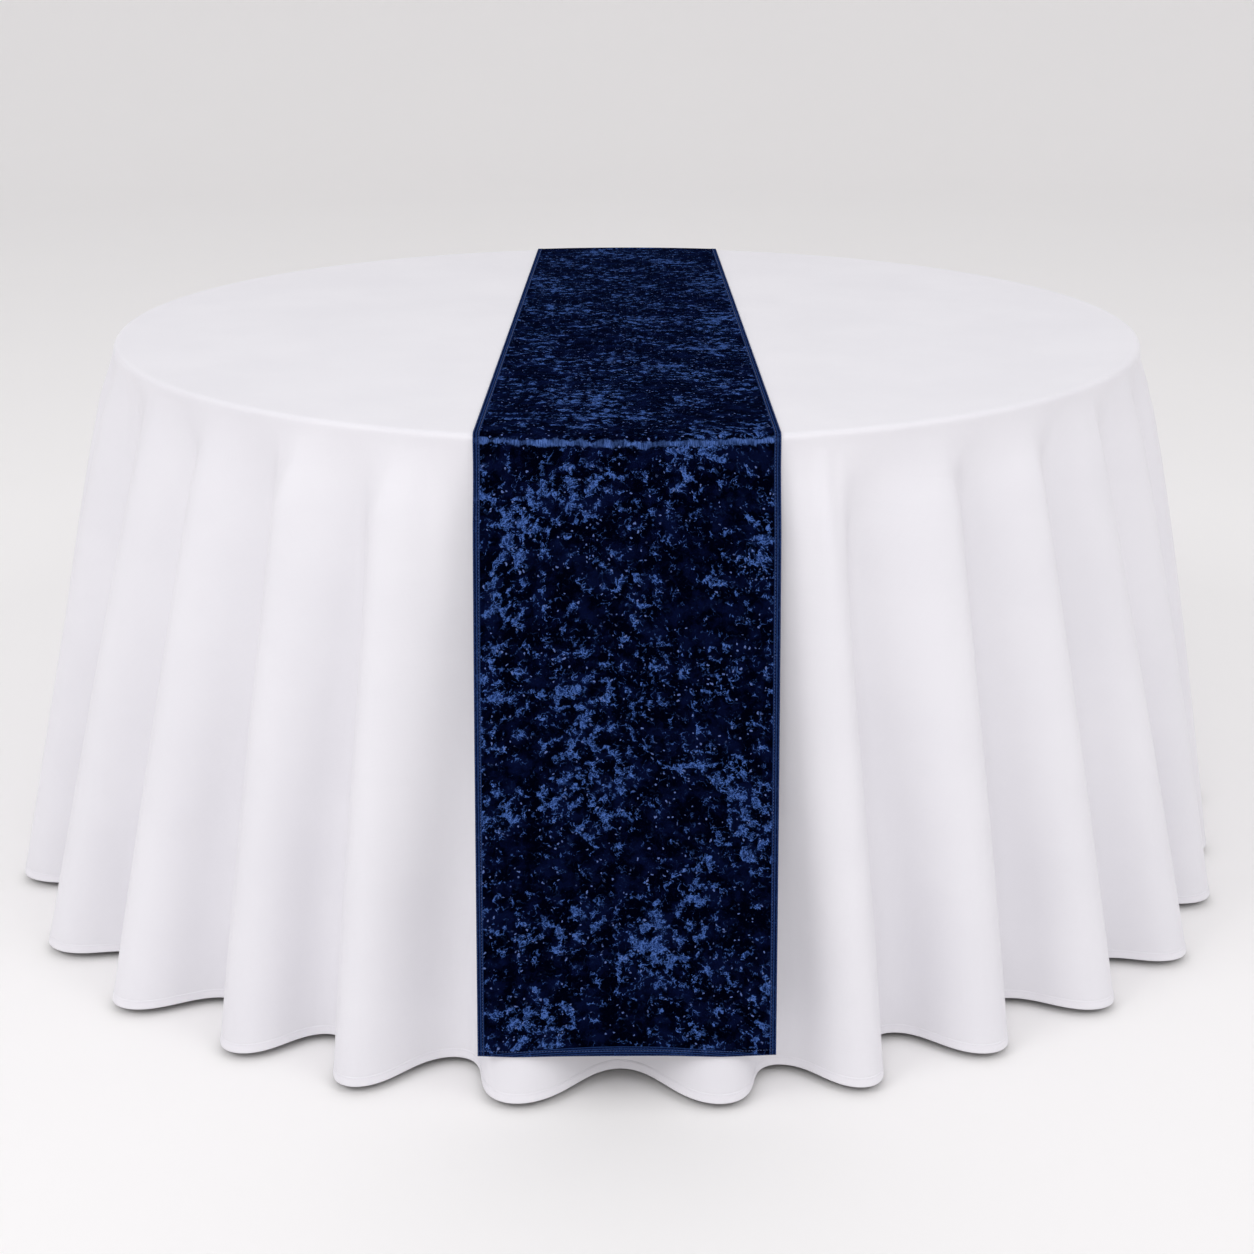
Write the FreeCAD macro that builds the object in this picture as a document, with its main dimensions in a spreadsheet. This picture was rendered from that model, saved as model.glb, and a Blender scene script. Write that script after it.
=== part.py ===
import FreeCAD, Part
import math
import os

import Sketcher  # noqa: F401  gives FreeCAD its sketch and constraint types

# A round banquet table, 60 inches across, dressed for an event: a folding table with two
# tube leg frames, a 120 inch round tablecloth that hangs almost to the floor, and a velvet
# runner laid across it from front to back.
#
# The frame: the floor is z = 0, the table's centre is x = y = 0, the runner runs along Y and
# the two leg frames hinge about lines parallel to Y, one on the left (-X), one on the right.
# All lengths are in millimetres.

VECTOR = FreeCAD.Vector
ROTATION = FreeCAD.Rotation
PLACEMENT = FreeCAD.Placement

DRIVING_DIMENSIONS = {
    # table top
    "table_height": 762.0,
    "top_radius": 762.0,
    "top_thick": 19.0,
    "band_thick": 3.0,
    "band_round": 2.5,
    "barb_depth": 9.0,
    "barb_thick": 2.5,
    "barb_play": 0.1,
    # leg frames: one bent tube each, with a welded stretcher and two feet
    "hinge_offset": 430.0,
    "tube_radius": 14.0,
    "tube_wall": 1.5,
    "bar_half": 240.0,
    "foot_half": 330.0,
    "splay_top": 320.0,
    "splay_bottom": 120.0,
    "bar_bend": 60.0,
    "splay_bend": 110.0,
    "stretcher_radius": 11.0,
    "stretcher_drop": 300.0,
    "foot_radius": 17.0,
    "foot_height": 32.0,
    "foot_base": 6.0,
    "foot_chamfer": 2.0,
    # saddles and the blocks that they stand on
    "left_block": 24.0,
    "right_block": 58.0,
    "block_length": 96.0,
    "block_width": 60.0,
    "bar_drop": 16.0,
    "saddle_spacing": 150.0,
    "saddle_width": 40.0,
    "saddle_wall": 2.5,
    "saddle_play": 0.3,
    "saddle_flange": 26.0,
    # screws
    "screw_radius": 2.25,
    "screw_play": 0.05,
    "screw_head": 4.6,
    "head_height": 2.6,
    "screw_bite": 12.0,
    # stays that hold the leg frames open
    "stay_inset": 300.0,
    "stay_drop": 12.0,
    "stay_half": 11.0,
    "stay_thick": 5.0,
    "notch_side": 14.0,
    "notch_play": 0.5,
    "notch_relief": 34.0,
    "lip_reach": 16.0,
    "lip_wide": 8.0,
    "pin_radius": 4.0,
    "pin_play": 0.1,
    "pin_head": 7.0,
    "pin_head_thick": 2.0,
    "ear_thick": 3.0,
    "ear_play": 0.5,
    "ear_round": 9.0,
    "clevis_length": 52.0,
    "clevis_width": 36.0,
    "clevis_plate": 1.0,
    "clevis_screw": 19.0,
    "clevis_screw_side": 11.0,
    # tablecloth
    "cloth_radius": 1524.0,
    "cloth_gap": 0.3,
    "cloth_thick": 1.5,
    "cloth_round": 5.0,
    "cloth_flare": 14.0,
    "hem_height": 12.0,
    "hem_thick": 0.8,
    # runner
    "runner_half": 175.0,
    "runner_end": 68.0,
    "runner_thick": 1.6,
    "runner_hem": 9.0,
    "runner_gap": 0.3,
}

document = FreeCAD.newDocument("dressed_banquet_table")
sheet = document.addObject("Spreadsheet::Sheet", "Dims")
for row, (alias, value) in enumerate(DRIVING_DIMENSIONS.items(), start=1):
    sheet.set(f"A{row}", alias)
    sheet.set(f"B{row}", str(value))
    sheet.setAlias(f"B{row}", alias)
document.recompute()

finished_parts = []


class Size:
    """A length or angle that is both a number and the sheet expression that gives it."""

    def __init__(self, value, text):
        self.value = value
        self.text = text

    def _with(self, other, sign, work):
        other = other if isinstance(other, Size) else Size(float(other), str(float(other)))
        return Size(work(self.value, other.value), f"({self.text} {sign} {other.text})")

    def __add__(self, other):
        return self._with(other, "+", lambda a, b: a + b)

    def __sub__(self, other):
        return self._with(other, "-", lambda a, b: a - b)

    def __mul__(self, other):
        return self._with(other, "*", lambda a, b: a * b)

    def __truediv__(self, other):
        return self._with(other, "/", lambda a, b: a / b)

    def __neg__(self):
        return self * -1


def dim(alias):
    """The driving dimension of that name."""
    return Size(DRIVING_DIMENSIONS[alias], f"Dims.{alias}")


ZERO = Size(0.0, "0")


def cosine(angle):
    return Size(math.cos(math.radians(angle.value)), f"cos({angle.text})")


def sine(angle):
    return Size(math.sin(math.radians(angle.value)), f"sin({angle.text})")


def tangent(angle):
    return Size(math.tan(math.radians(angle.value)), f"tan({angle.text})")


def arc_tangent(slope):
    return Size(math.degrees(math.atan(slope.value)), f"atan({slope.text})")


def arc_sine(ratio):
    return Size(math.degrees(math.asin(ratio.value)), f"asin({ratio.text})")


def root(square):
    return Size(math.sqrt(square.value), f"sqrt({square.text})")


def bind(feature, prop, size):
    """Drives a property of a feature from the sheet."""
    feature.setExpression(prop, size.text)


def finish(thing, label):
    """Names a finished sub-part. Its label is the name of its file."""
    thing.Label = label
    finished_parts.append(thing)
    return thing


# ---------------------------------------------------------------- sketches and bodies


def new_body(name):
    return document.addObject("PartDesign::Body", name)


def place(thing, across, deep, up):
    """Puts a sub-part at a place that the sheet drives."""
    for axis, size in (("x", across), ("y", deep), ("z", up)):
        bind(thing, f"Placement.Base.{axis}", size)


def sketch_on(body, role, name, lift=None):
    """An empty sketch on one of the body's own origin planes, lifted along its normal."""
    sketch = body.newObject("Sketcher::SketchObject", name)
    plane = next(o for o in body.Origin.OriginFeatures if o.Role == role)
    sketch.AttachmentSupport = (plane, [""])
    sketch.MapMode = "FlatFace"
    if lift is not None:
        bind(sketch, "AttachmentOffset.Base.z", lift)
    return sketch


def fix_point(sketch, geometry, end, across, up):
    """Ties one point of a sketch to the origin by two distances from the sheet."""
    for kind, size, axis in (("DistanceX", across, -2), ("DistanceY", up, -1)):
        if abs(size.value) < 1e-9:
            sketch.addConstraint(Sketcher.Constraint("PointOnObject", geometry, end, axis))
            continue
        forward = size.value > 0
        ends = (-1, 1, geometry, end) if forward else (geometry, end, -1, 1)
        index = sketch.addConstraint(Sketcher.Constraint(kind, *ends, abs(size.value)))
        bind(sketch, f"Constraints[{index}]", size if forward else -size)


def add_outline(sketch, corners, closed=True):
    """Straight lines from corner to corner. Each corner is a pair of sizes."""
    points = [VECTOR(a.value, b.value, 0) for a, b in corners]
    count = len(points) if closed else len(points) - 1
    lines = []
    for i in range(count):
        segment = Part.LineSegment(points[i], points[(i + 1) % len(points)])
        lines.append(sketch.addGeometry(segment, False))
    for i, (across, up) in enumerate(corners[:count]):
        fix_point(sketch, lines[i], 1, across, up)
        if closed or i > 0:
            joint = Sketcher.Constraint("Coincident", lines[i - 1], 2, lines[i], 1)
            sketch.addConstraint(joint)
    if not closed:
        fix_point(sketch, lines[-1], 2, *corners[-1])
    return lines


def add_circle(sketch, across, up, radius):
    centre = VECTOR(across.value, up.value, 0)
    circle = Part.Circle(centre, VECTOR(0, 0, 1), radius.value)
    geometry = sketch.addGeometry(circle, False)
    index = sketch.addConstraint(Sketcher.Constraint("Radius", geometry, radius.value))
    bind(sketch, f"Constraints[{index}]", radius)
    fix_point(sketch, geometry, 3, across, up)
    return geometry


def pad(body, sketch, length, name="Pad"):
    """Pads a sketch by the same amount each side of its plane."""
    feature = body.newObject("PartDesign::Pad", name)
    feature.Profile = sketch
    feature.Midplane = True
    bind(feature, "Length", length)
    document.recompute()
    return feature


def pad_up(body, sketch, length, name="Pad"):
    feature = body.newObject("PartDesign::Pad", name)
    feature.Profile = sketch
    bind(feature, "Length", length)
    document.recompute()
    return feature


def pocket_through(body, sketch, name="Pocket"):
    """Cuts a sketch right through the body, both ways."""
    before = body.Shape.Volume
    feature = body.newObject("PartDesign::Pocket", name)
    feature.Profile = sketch
    feature.Type = "ThroughAll"
    feature.Midplane = True
    document.recompute()
    if not body.Shape.Volume < before:
        raise ValueError(f"{body.Name}: {name} cuts nothing")
    return feature


def revolve(body, sketch, name="Revolution"):
    """Turns a sketch on the XZ plane right round the Z axis."""
    feature = body.newObject("PartDesign::Revolution", name)
    feature.Profile = sketch
    feature.ReferenceAxis = (sketch, ["V_Axis"])
    feature.Angle = 360
    document.recompute()
    return feature


# ---------------------------------------------------------------- heights that parts share

UNDERSIDE = dim("table_height") - dim("top_thick")
SIDES = {"left": -1.0, "right": 1.0}
ENDS = {"front": -1.0, "back": 1.0}


def hinge_across(side):
    return dim("hinge_offset") * SIDES[side]


def block_thick(side):
    return dim(f"{side}_block")


def hinge_height(side):
    """The left frame hinges higher than the right one, so that they fold flat together."""
    return UNDERSIDE - block_thick(side) - dim("bar_drop")


def stay_pivot_across(side):
    return (dim("hinge_offset") - dim("stay_inset")) * SIDES[side]


def stay_pivot_height(side):
    return hinge_height(side) + dim("bar_drop") + dim("left_block") - dim("stay_drop")


def screw_places():
    """Every wood screw: its side, its place, and how thick the block above its plate is."""
    flange_screw = dim("tube_radius") + dim("saddle_play") + dim("saddle_wall")
    flange_screw = flange_screw + dim("saddle_flange") * 0.5
    places = []
    for side in SIDES:
        for end in ENDS:
            deep = dim("saddle_spacing") * ENDS[end]
            for step in (-1.0, 1.0):
                across = hinge_across(side) + flange_screw * step
                places.append((side, "saddle", across, deep))
        for step in (-1.0, 1.0):
            across = stay_pivot_across(side) + dim("clevis_screw") * step
            places.append((side, "clevis", across, dim("clevis_screw_side") * step))
    return places


SCREW_HOLE = dim("screw_radius") + dim("screw_play")


# ---------------------------------------------------------------- the table top


def make_table_top():
    """Plywood disc with a groove round its edge and pilot holes in its underside."""
    body = new_body("TableTop")
    radius = dim("top_radius") - dim("band_thick")
    disc = sketch_on(body, "XY_Plane", "Disc")
    add_circle(disc, ZERO, ZERO, radius)
    pad_up(body, disc, dim("top_thick"))

    groove = sketch_on(body, "XZ_Plane", "EdgeGroove")
    half = dim("barb_thick") * 0.5 + dim("barb_play")
    middle = dim("top_thick") * 0.5
    inner = radius - dim("barb_depth") - dim("barb_play")
    outer = radius + 1.0
    add_outline(
        groove,
        [(inner, middle - half), (outer, middle - half), (outer, middle + half), (inner, middle + half)],
    )
    before = body.Shape.Volume
    cut = body.newObject("PartDesign::Groove", "BarbGroove")
    cut.Profile = groove
    cut.ReferenceAxis = (groove, ["V_Axis"])
    cut.Angle = 360
    document.recompute()
    if not body.Shape.Volume < before:
        raise ValueError("the edge groove cuts nothing")

    pilots = sketch_on(body, "XY_Plane", "PilotHoles")
    for _, _, across, deep in screw_places():
        add_circle(pilots, across, deep, SCREW_HOLE)
    before = body.Shape.Volume
    holes = body.newObject("PartDesign::Pocket", "Pilots")
    holes.Profile = pilots
    holes.Reversed = True
    bind(holes, "Length", dim("screw_bite") + 1.0)
    document.recompute()
    if not body.Shape.Volume < before:
        raise ValueError("the pilot holes cut nothing")
    place(body, ZERO, ZERO, UNDERSIDE)
    return finish(body, "table_top")


def make_edge_band():
    """T-section vinyl moulding: a band round the edge with a barb in the plywood's groove."""
    body = new_body("EdgeBand")
    outer = dim("top_radius")
    inner = outer - dim("band_thick")
    tip = inner - dim("barb_depth")
    middle = dim("top_thick") * 0.5
    half = dim("barb_thick") * 0.5
    corner = dim("band_round")
    section = sketch_on(body, "XZ_Plane", "Section")
    add_outline(
        section,
        [
            (inner, ZERO),
            (outer - corner, ZERO),
            (outer, corner),
            (outer, dim("top_thick") - corner),
            (outer - corner, dim("top_thick")),
            (inner, dim("top_thick")),
            (inner, middle + half),
            (tip, middle + half * 0.6),
            (tip, middle - half * 0.6),
            (inner, middle - half),
        ],
    )
    revolve(body, section)
    place(body, ZERO, ZERO, UNDERSIDE)
    return finish(body, "edge_band")


# ---------------------------------------------------------------- blocks, saddles, clevises


def make_block(label, across, deep, length, width, thick, screw_across, screw_deep):
    """A wooden block under the top, with its two screw holes."""
    body = new_body(f"Block_{label}")
    plan = sketch_on(body, "XY_Plane", "Plan")
    half_length = length * 0.5
    half_width = width * 0.5
    add_outline(
        plan,
        [
            (-half_length, -half_width),
            (half_length, -half_width),
            (half_length, half_width),
            (-half_length, half_width),
        ],
    )
    pad_up(body, plan, thick)
    holes = sketch_on(body, "XY_Plane", "ScrewHoles")
    for step in (-1.0, 1.0):
        add_circle(holes, screw_across * step, screw_deep * step, SCREW_HOLE)
    pocket_through(body, holes)
    place(body, across, deep, UNDERSIDE - thick)
    return finish(body, label)


def make_saddle(side, end):
    """A pressed strap that holds the leg frame's top bar and lets it turn."""
    body = new_body(f"Saddle_{side}_{end}")
    inner = dim("tube_radius") + dim("saddle_play")
    outer = inner + dim("saddle_wall")
    reach = outer + dim("saddle_flange")
    plate = dim("saddle_wall")
    drop = dim("bar_drop")

    flange = sketch_on(body, "XZ_Plane", "Flange")
    add_outline(flange, [(-reach, -plate), (reach, -plate), (reach, ZERO), (-reach, ZERO)])
    pad(body, flange, dim("saddle_width"), "FlangePad")
    cheeks = sketch_on(body, "XZ_Plane", "Cheeks")
    add_outline(cheeks, [(-outer, -drop), (outer, -drop), (outer, ZERO), (-outer, ZERO)])
    pad(body, cheeks, dim("saddle_width"), "CheekPad")
    belly = sketch_on(body, "XZ_Plane", "Belly")
    add_circle(belly, ZERO, -drop, outer)
    pad(body, belly, dim("saddle_width"), "BellyPad")

    seat = sketch_on(body, "XZ_Plane", "Seat")
    add_circle(seat, ZERO, -drop, inner)
    pocket_through(body, seat, "SeatCut")
    throat = sketch_on(body, "XZ_Plane", "Throat")
    top = ZERO + 1.0
    add_outline(throat, [(-inner, -drop), (inner, -drop), (inner, top), (-inner, top)])
    pocket_through(body, throat, "ThroatCut")
    holes = sketch_on(body, "XY_Plane", "ScrewHoles")
    for step in (-1.0, 1.0):
        add_circle(holes, (outer + dim("saddle_flange") * 0.5) * step, ZERO, SCREW_HOLE)
    pocket_through(body, holes, "Holes")
    # The belly's circle rises above the block's face only inside the throat, so the top is flat.
    place(
        body,
        hinge_across(side),
        dim("saddle_spacing") * ENDS[end],
        UNDERSIDE - block_thick(side),
    )
    return finish(body, f"{side}_saddle_{end}")


def make_clevis(side):
    """A plate with two ears that carries the stay's pin."""
    body = new_body(f"Clevis_{side}")
    half_length = dim("clevis_length") * 0.5
    plate = dim("clevis_plate")
    inner = dim("stay_thick") * 0.5 + dim("ear_play")
    outer = inner + dim("ear_thick")
    drop = dim("stay_drop")
    round_ear = dim("ear_round")

    base = sketch_on(body, "XZ_Plane", "Base")
    corners = [(-half_length, -plate), (half_length, -plate), (half_length, ZERO), (-half_length, ZERO)]
    add_outline(base, corners)
    pad(body, base, dim("clevis_width"), "BasePad")
    cheeks = sketch_on(body, "XZ_Plane", "Ears")
    add_outline(cheeks, [(-round_ear, -drop), (round_ear, -drop), (round_ear, -plate), (-round_ear, -plate)])
    pad(body, cheeks, outer * 2.0, "EarPad")
    tips = sketch_on(body, "XZ_Plane", "EarTips")
    add_circle(tips, ZERO, -drop, round_ear)
    pad(body, tips, outer * 2.0, "EarTipPad")

    slot = sketch_on(body, "YZ_Plane", "Slot")
    low = -drop - round_ear - 1.0
    add_outline(slot, [(-inner, low), (inner, low), (inner, -plate), (-inner, -plate)])
    pocket_through(body, slot, "SlotCut")
    bore = sketch_on(body, "XZ_Plane", "PinBore")
    add_circle(bore, ZERO, -drop, dim("pin_radius") + dim("screw_play"))
    pocket_through(body, bore, "PinCut")
    holes = sketch_on(body, "XY_Plane", "ScrewHoles")
    for step in (-1.0, 1.0):
        add_circle(holes, dim("clevis_screw") * step, dim("clevis_screw_side") * step, SCREW_HOLE)
    pocket_through(body, holes, "Holes")
    place(body, stay_pivot_across(side), ZERO, stay_pivot_height(side) + drop)
    return finish(body, f"{side}_stay_clevis")


def make_stay_pin(side):
    """A rivet through the clevis ears, which the stay swings on."""
    body = new_body(f"StayPin_{side}")
    outer = dim("stay_thick") * 0.5 + dim("ear_play") + dim("ear_thick")
    shank = sketch_on(body, "XZ_Plane", "Shank")
    add_circle(shank, ZERO, ZERO, dim("pin_radius"))
    pad(body, shank, (outer + dim("pin_head_thick")) * 2.0, "ShankPad")
    for end, sign in ENDS.items():
        head = sketch_on(body, "XZ_Plane", f"Head_{end}", outer * -sign if sign > 0 else outer)
        add_circle(head, ZERO, ZERO, dim("pin_head"))
        feature = body.newObject("PartDesign::Pad", f"HeadPad_{end}")
        feature.Profile = head
        feature.Reversed = sign > 0
        bind(feature, "Length", dim("pin_head_thick"))
        document.recompute()
    place(body, stay_pivot_across(side), ZERO, stay_pivot_height(side))
    return finish(body, f"{side}_stay_pin")


def make_screws(side, kind):
    """The wood screws of one side's saddles or clevis, as one group of separate solids."""
    plate = dim("saddle_wall") if kind == "saddle" else dim("clevis_plate")
    thick = block_thick(side)
    if kind == "clevis":
        thick = thick - dim("left_block")
    head_face = UNDERSIDE - thick - plate
    length = dim("screw_bite") + thick + plate
    solids = []
    for number, (at_side, at_kind, across, deep) in enumerate(screw_places()):
        if at_side != side or at_kind != kind:
            continue
        shank = document.addObject("Part::Cylinder", f"Shank_{number}")
        bind(shank, "Radius", dim("screw_radius"))
        bind(shank, "Height", length)
        place(shank, across, deep, head_face)
        head = document.addObject("Part::Cone", f"Head_{number}")
        bind(head, "Radius1", dim("screw_head") * 0.6)
        bind(head, "Radius2", dim("screw_head"))
        bind(head, "Height", dim("head_height"))
        place(head, across, deep, head_face - dim("head_height"))
        screw = document.addObject("Part::Fuse", f"Screw_{number}")
        screw.Base = head
        screw.Tool = shank
        solids.append(screw)
    document.recompute()
    group = document.addObject("Part::Compound", f"Screws_{side}_{kind}")
    group.Links = solids
    document.recompute()
    return finish(group, f"{side}_{kind}_screws")


# ---------------------------------------------------------------- leg frames


def make_leg_frame(side):
    """One steel tube, bent from foot to foot: up, inwards, up, across as the hinge bar, and down."""
    body = new_body(f"LegFrame_{side}")
    bar = dim("bar_half")
    foot = dim("foot_half")
    low = dim("foot_base")
    top = hinge_height(side)
    path = sketch_on(body, "YZ_Plane", "TubePath")
    lines = add_outline(
        path,
        [
            (-foot, low),
            (-foot, dim("splay_bottom")),
            (-bar, dim("splay_top")),
            (-bar, top),
            (bar, top),
            (bar, dim("splay_top")),
            (foot, dim("splay_bottom")),
            (foot, low),
        ],
        closed=False,
    )
    splay, corner = dim("splay_bend"), dim("bar_bend")
    bends = [splay, splay, corner, corner, splay, splay]
    middles = [(path.getPoint(line, 1) + path.getPoint(line, 2)) * 0.5 for line in lines]
    for number, radius in enumerate(bends):
        first, second = lines[number], lines[number + 1]
        path.fillet(first, second, middles[number], middles[number + 1], radius.value, True, True)
        arc = max(i for i in range(path.GeometryCount) if isinstance(path.Geometry[i], Part.ArcOfCircle))
        index = path.addConstraint(Sketcher.Constraint("Radius", arc, radius.value))
        bind(path, f"Constraints[{index}]", radius)
    section = sketch_on(body, "XY_Plane", "TubeSection", low)
    add_circle(section, ZERO, -foot, dim("tube_radius"))
    add_circle(section, ZERO, -foot, dim("tube_radius") - dim("tube_wall"))
    document.recompute()
    tube = body.newObject("PartDesign::AdditivePipe", "Tube")
    tube.Profile = section
    tube.Spine = path
    document.recompute()
    place(body, hinge_across(side), ZERO, ZERO)
    return finish(body, f"{side}_leg_frame")


def make_stretcher(side):
    """A cross tube, coped to fit between the two uprights and welded there."""
    body = new_body(f"Stretcher_{side}")
    section = sketch_on(body, "XZ_Plane", "Section")
    add_circle(section, ZERO, ZERO, dim("stretcher_radius"))
    add_circle(section, ZERO, ZERO, dim("stretcher_radius") - dim("tube_wall"))
    pad(body, section, dim("bar_half") * 2.0)
    copes = sketch_on(body, "XY_Plane", "Copes")
    for sign in ENDS.values():
        add_circle(copes, ZERO, dim("bar_half") * sign, dim("tube_radius"))
    pocket_through(body, copes, "CopeCut")
    place(body, hinge_across(side), ZERO, hinge_height(side) - dim("stretcher_drop"))
    return finish(body, f"{side}_stretcher")


def make_foot(side, end):
    """A moulded cap over the tube's end."""
    body = new_body(f"Foot_{side}_{end}")
    outer = dim("foot_radius")
    bevel = dim("foot_chamfer")
    section = sketch_on(body, "XZ_Plane", "Section")
    add_outline(
        section,
        [
            (ZERO, ZERO),
            (outer - bevel, ZERO),
            (outer, bevel),
            (outer, dim("foot_height")),
            (dim("tube_radius"), dim("foot_height")),
            (dim("tube_radius"), dim("foot_base")),
            (ZERO, dim("foot_base")),
        ],
    )
    revolve(body, section)
    place(body, hinge_across(side), dim("foot_half") * ENDS[end], ZERO)
    return finish(body, f"{side}_foot_{end}")


def make_stay(side):
    """A flat bar that swings on the clevis pin; the notch at its end sits over the stretcher."""
    body = new_body(f"Stay_{side}")
    rise = dim("stretcher_drop") + dim("bar_drop") + dim("left_block") - dim("stay_drop")
    span_square = dim("stay_inset") * dim("stay_inset") + rise * rise
    notch_side = dim("notch_side")
    reach = root(span_square - notch_side * notch_side)
    tilt = arc_tangent(rise / dim("stay_inset")) - arc_sine(notch_side / root(span_square))
    opening = 1.0 if side == "left" else -1.0

    half = dim("stay_half")
    notch = dim("stretcher_radius") + dim("notch_play")
    lip = notch + dim("lip_wide")
    bar = sketch_on(body, "XZ_Plane", "Bar")
    add_outline(
        bar,
        [
            (ZERO, half * -opening),
            (reach + lip, half * -opening),
            (reach + lip, dim("lip_reach") * opening),
            (reach - lip, dim("lip_reach") * opening),
            (reach - lip * 1.6, half * opening),
            (ZERO, half * opening),
        ],
    )
    pad(body, bar, dim("stay_thick"), "BarPad")
    eye = sketch_on(body, "XZ_Plane", "Eye")
    add_circle(eye, ZERO, ZERO, half)
    pad(body, eye, dim("stay_thick"), "EyePad")
    bore = sketch_on(body, "XZ_Plane", "PinBore")
    add_circle(bore, ZERO, ZERO, dim("pin_radius") + dim("pin_play"))
    pocket_through(body, bore, "BoreCut")
    cradle = sketch_on(body, "XZ_Plane", "Cradle")
    add_circle(cradle, reach, notch_side * opening, notch)
    pocket_through(body, cradle, "CradleCut")
    mouth = sketch_on(body, "XZ_Plane", "Mouth")
    relief = dim("notch_relief")
    wall_foot = reach - notch * cosine(relief)
    wall_tip = wall_foot - notch * 2.0 * sine(relief)
    near = notch_side - notch * sine(relief)
    far = near + notch * 2.0 * cosine(relief)
    add_outline(
        mouth,
        [
            (wall_foot, near * opening),
            (reach, notch_side * opening),
            (reach + notch, notch_side * opening),
            (reach + notch, far * opening),
            (wall_tip, far * opening),
        ],
    )
    pocket_through(body, mouth, "MouthCut")

    place(body, stay_pivot_across(side), ZERO, stay_pivot_height(side))
    turn = Size(180.0, "180 deg") - tilt if side == "left" else tilt
    body.Placement.Rotation = ROTATION(VECTOR(0, 1, 0), turn.value)
    bind(body, "Placement.Rotation.Angle", turn)
    return finish(body, f"{side}_stay")


# ---------------------------------------------------------------- cloth


def make_cloth_shell(name, offset, thick, height):
    """A hollow cloth form: flat over the table, rounded at its rim, flared to the floor.

    offset is how far its inner face stands off the line of the tablecloth's inner face.
    """
    body = new_body(name)
    flare = dim("cloth_flare")
    rim = dim("top_radius") + offset * ((sine(flare) * -1.0 + 1.0) / cosine(flare))
    form = body.newObject("PartDesign::AdditiveCone", "Form")
    bind(form, "Radius2", rim)
    bind(form, "Radius1", rim + height * tangent(flare))
    bind(form, "Height", height)
    document.recompute()
    top_edge = max(range(len(form.Shape.Edges)), key=lambda i: form.Shape.Edges[i].BoundBox.ZMin)
    soft_rim = body.newObject("PartDesign::Fillet", "SoftRim")
    soft_rim.Base = (form, [f"Edge{top_edge + 1}"])
    bind(soft_rim, "Radius", dim("cloth_round") + offset)
    document.recompute()
    floor_face = min(range(len(soft_rim.Shape.Faces)), key=lambda i: soft_rim.Shape.Faces[i].BoundBox.ZMax)
    shell = body.newObject("PartDesign::Thickness", "Shell")
    shell.Base = (soft_rim, [f"Face{floor_face + 1}"])
    shell.Reversed = False
    bind(shell, "Value", thick)
    document.recompute()
    place(body, ZERO, ZERO, dim("table_height") + dim("cloth_gap") + offset - height)
    document.recompute()
    return body


CLOTH_DROP = (dim("cloth_radius") - dim("top_radius")) * cosine(dim("cloth_flare"))
CLOTH_FOOT = dim("table_height") + dim("cloth_gap") - CLOTH_DROP


def make_tablecloth():
    panel = make_cloth_shell("Tablecloth", ZERO, dim("cloth_thick"), CLOTH_DROP)
    return finish(panel, "tablecloth_panel")


def make_tablecloth_hem():
    """The double-turned hem, a narrow band inside the cloth's lower edge."""
    slope = tangent(dim("cloth_flare"))
    foot_radius = dim("top_radius") + CLOTH_DROP * slope
    cones = []
    for name, inset in (("HemOuter", ZERO), ("HemInner", dim("hem_thick"))):
        cone = document.addObject("Part::Cone", name)
        bind(cone, "Radius1", foot_radius - inset)
        bind(cone, "Radius2", foot_radius - dim("hem_height") * slope - inset)
        bind(cone, "Height", dim("hem_height"))
        place(cone, ZERO, ZERO, CLOTH_FOOT)
        cones.append(cone)
    hem = document.addObject("Part::Cut", "TableclothHem")
    hem.Base, hem.Tool = cones
    document.recompute()
    return finish(hem, "tablecloth_hem")


def runner_slice(label, offset, thick, left, right, near, far, low, high):
    """The part of a cloth shell inside an upright box: a strip that follows the dressed table."""
    shell = make_cloth_shell(f"Shell_{label}", offset, thick, CLOTH_DROP)
    box = document.addObject("Part::Box", f"Box_{label}")
    bind(box, "Length", right - left)
    bind(box, "Width", far - near)
    bind(box, "Height", high - low)
    place(box, left, near, low)
    strip = document.addObject("Part::Common", f"Strip_{label}")
    strip.Base, strip.Tool = shell, box
    document.recompute()
    return finish(strip, label)


def make_runner():
    """Velvet panel, and the turned hem under each of its four edges."""
    half = dim("runner_half")
    hem = dim("runner_hem")
    low = dim("runner_end")
    high = dim("table_height") + 50.0
    reach = dim("cloth_radius")
    under = dim("cloth_thick") + dim("runner_gap")
    over = under + dim("hem_thick")
    runner_slice("runner_velvet_panel", over, dim("runner_thick"), -half, half, -reach, reach, low, high)
    thick = dim("hem_thick")
    runner_slice("runner_side_hem_left", under, thick, -half, hem - half, -reach, reach, low, high)
    runner_slice("runner_side_hem_right", under, thick, half - hem, half, -reach, reach, low, high)
    inner = half - hem
    top = low + hem
    runner_slice("runner_end_hem_front", under, thick, -inner, inner, -reach, ZERO, low, top)
    runner_slice("runner_end_hem_back", under, thick, -inner, inner, ZERO, reach, low, top)


# ---------------------------------------------------------------- the whole assembly

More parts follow.
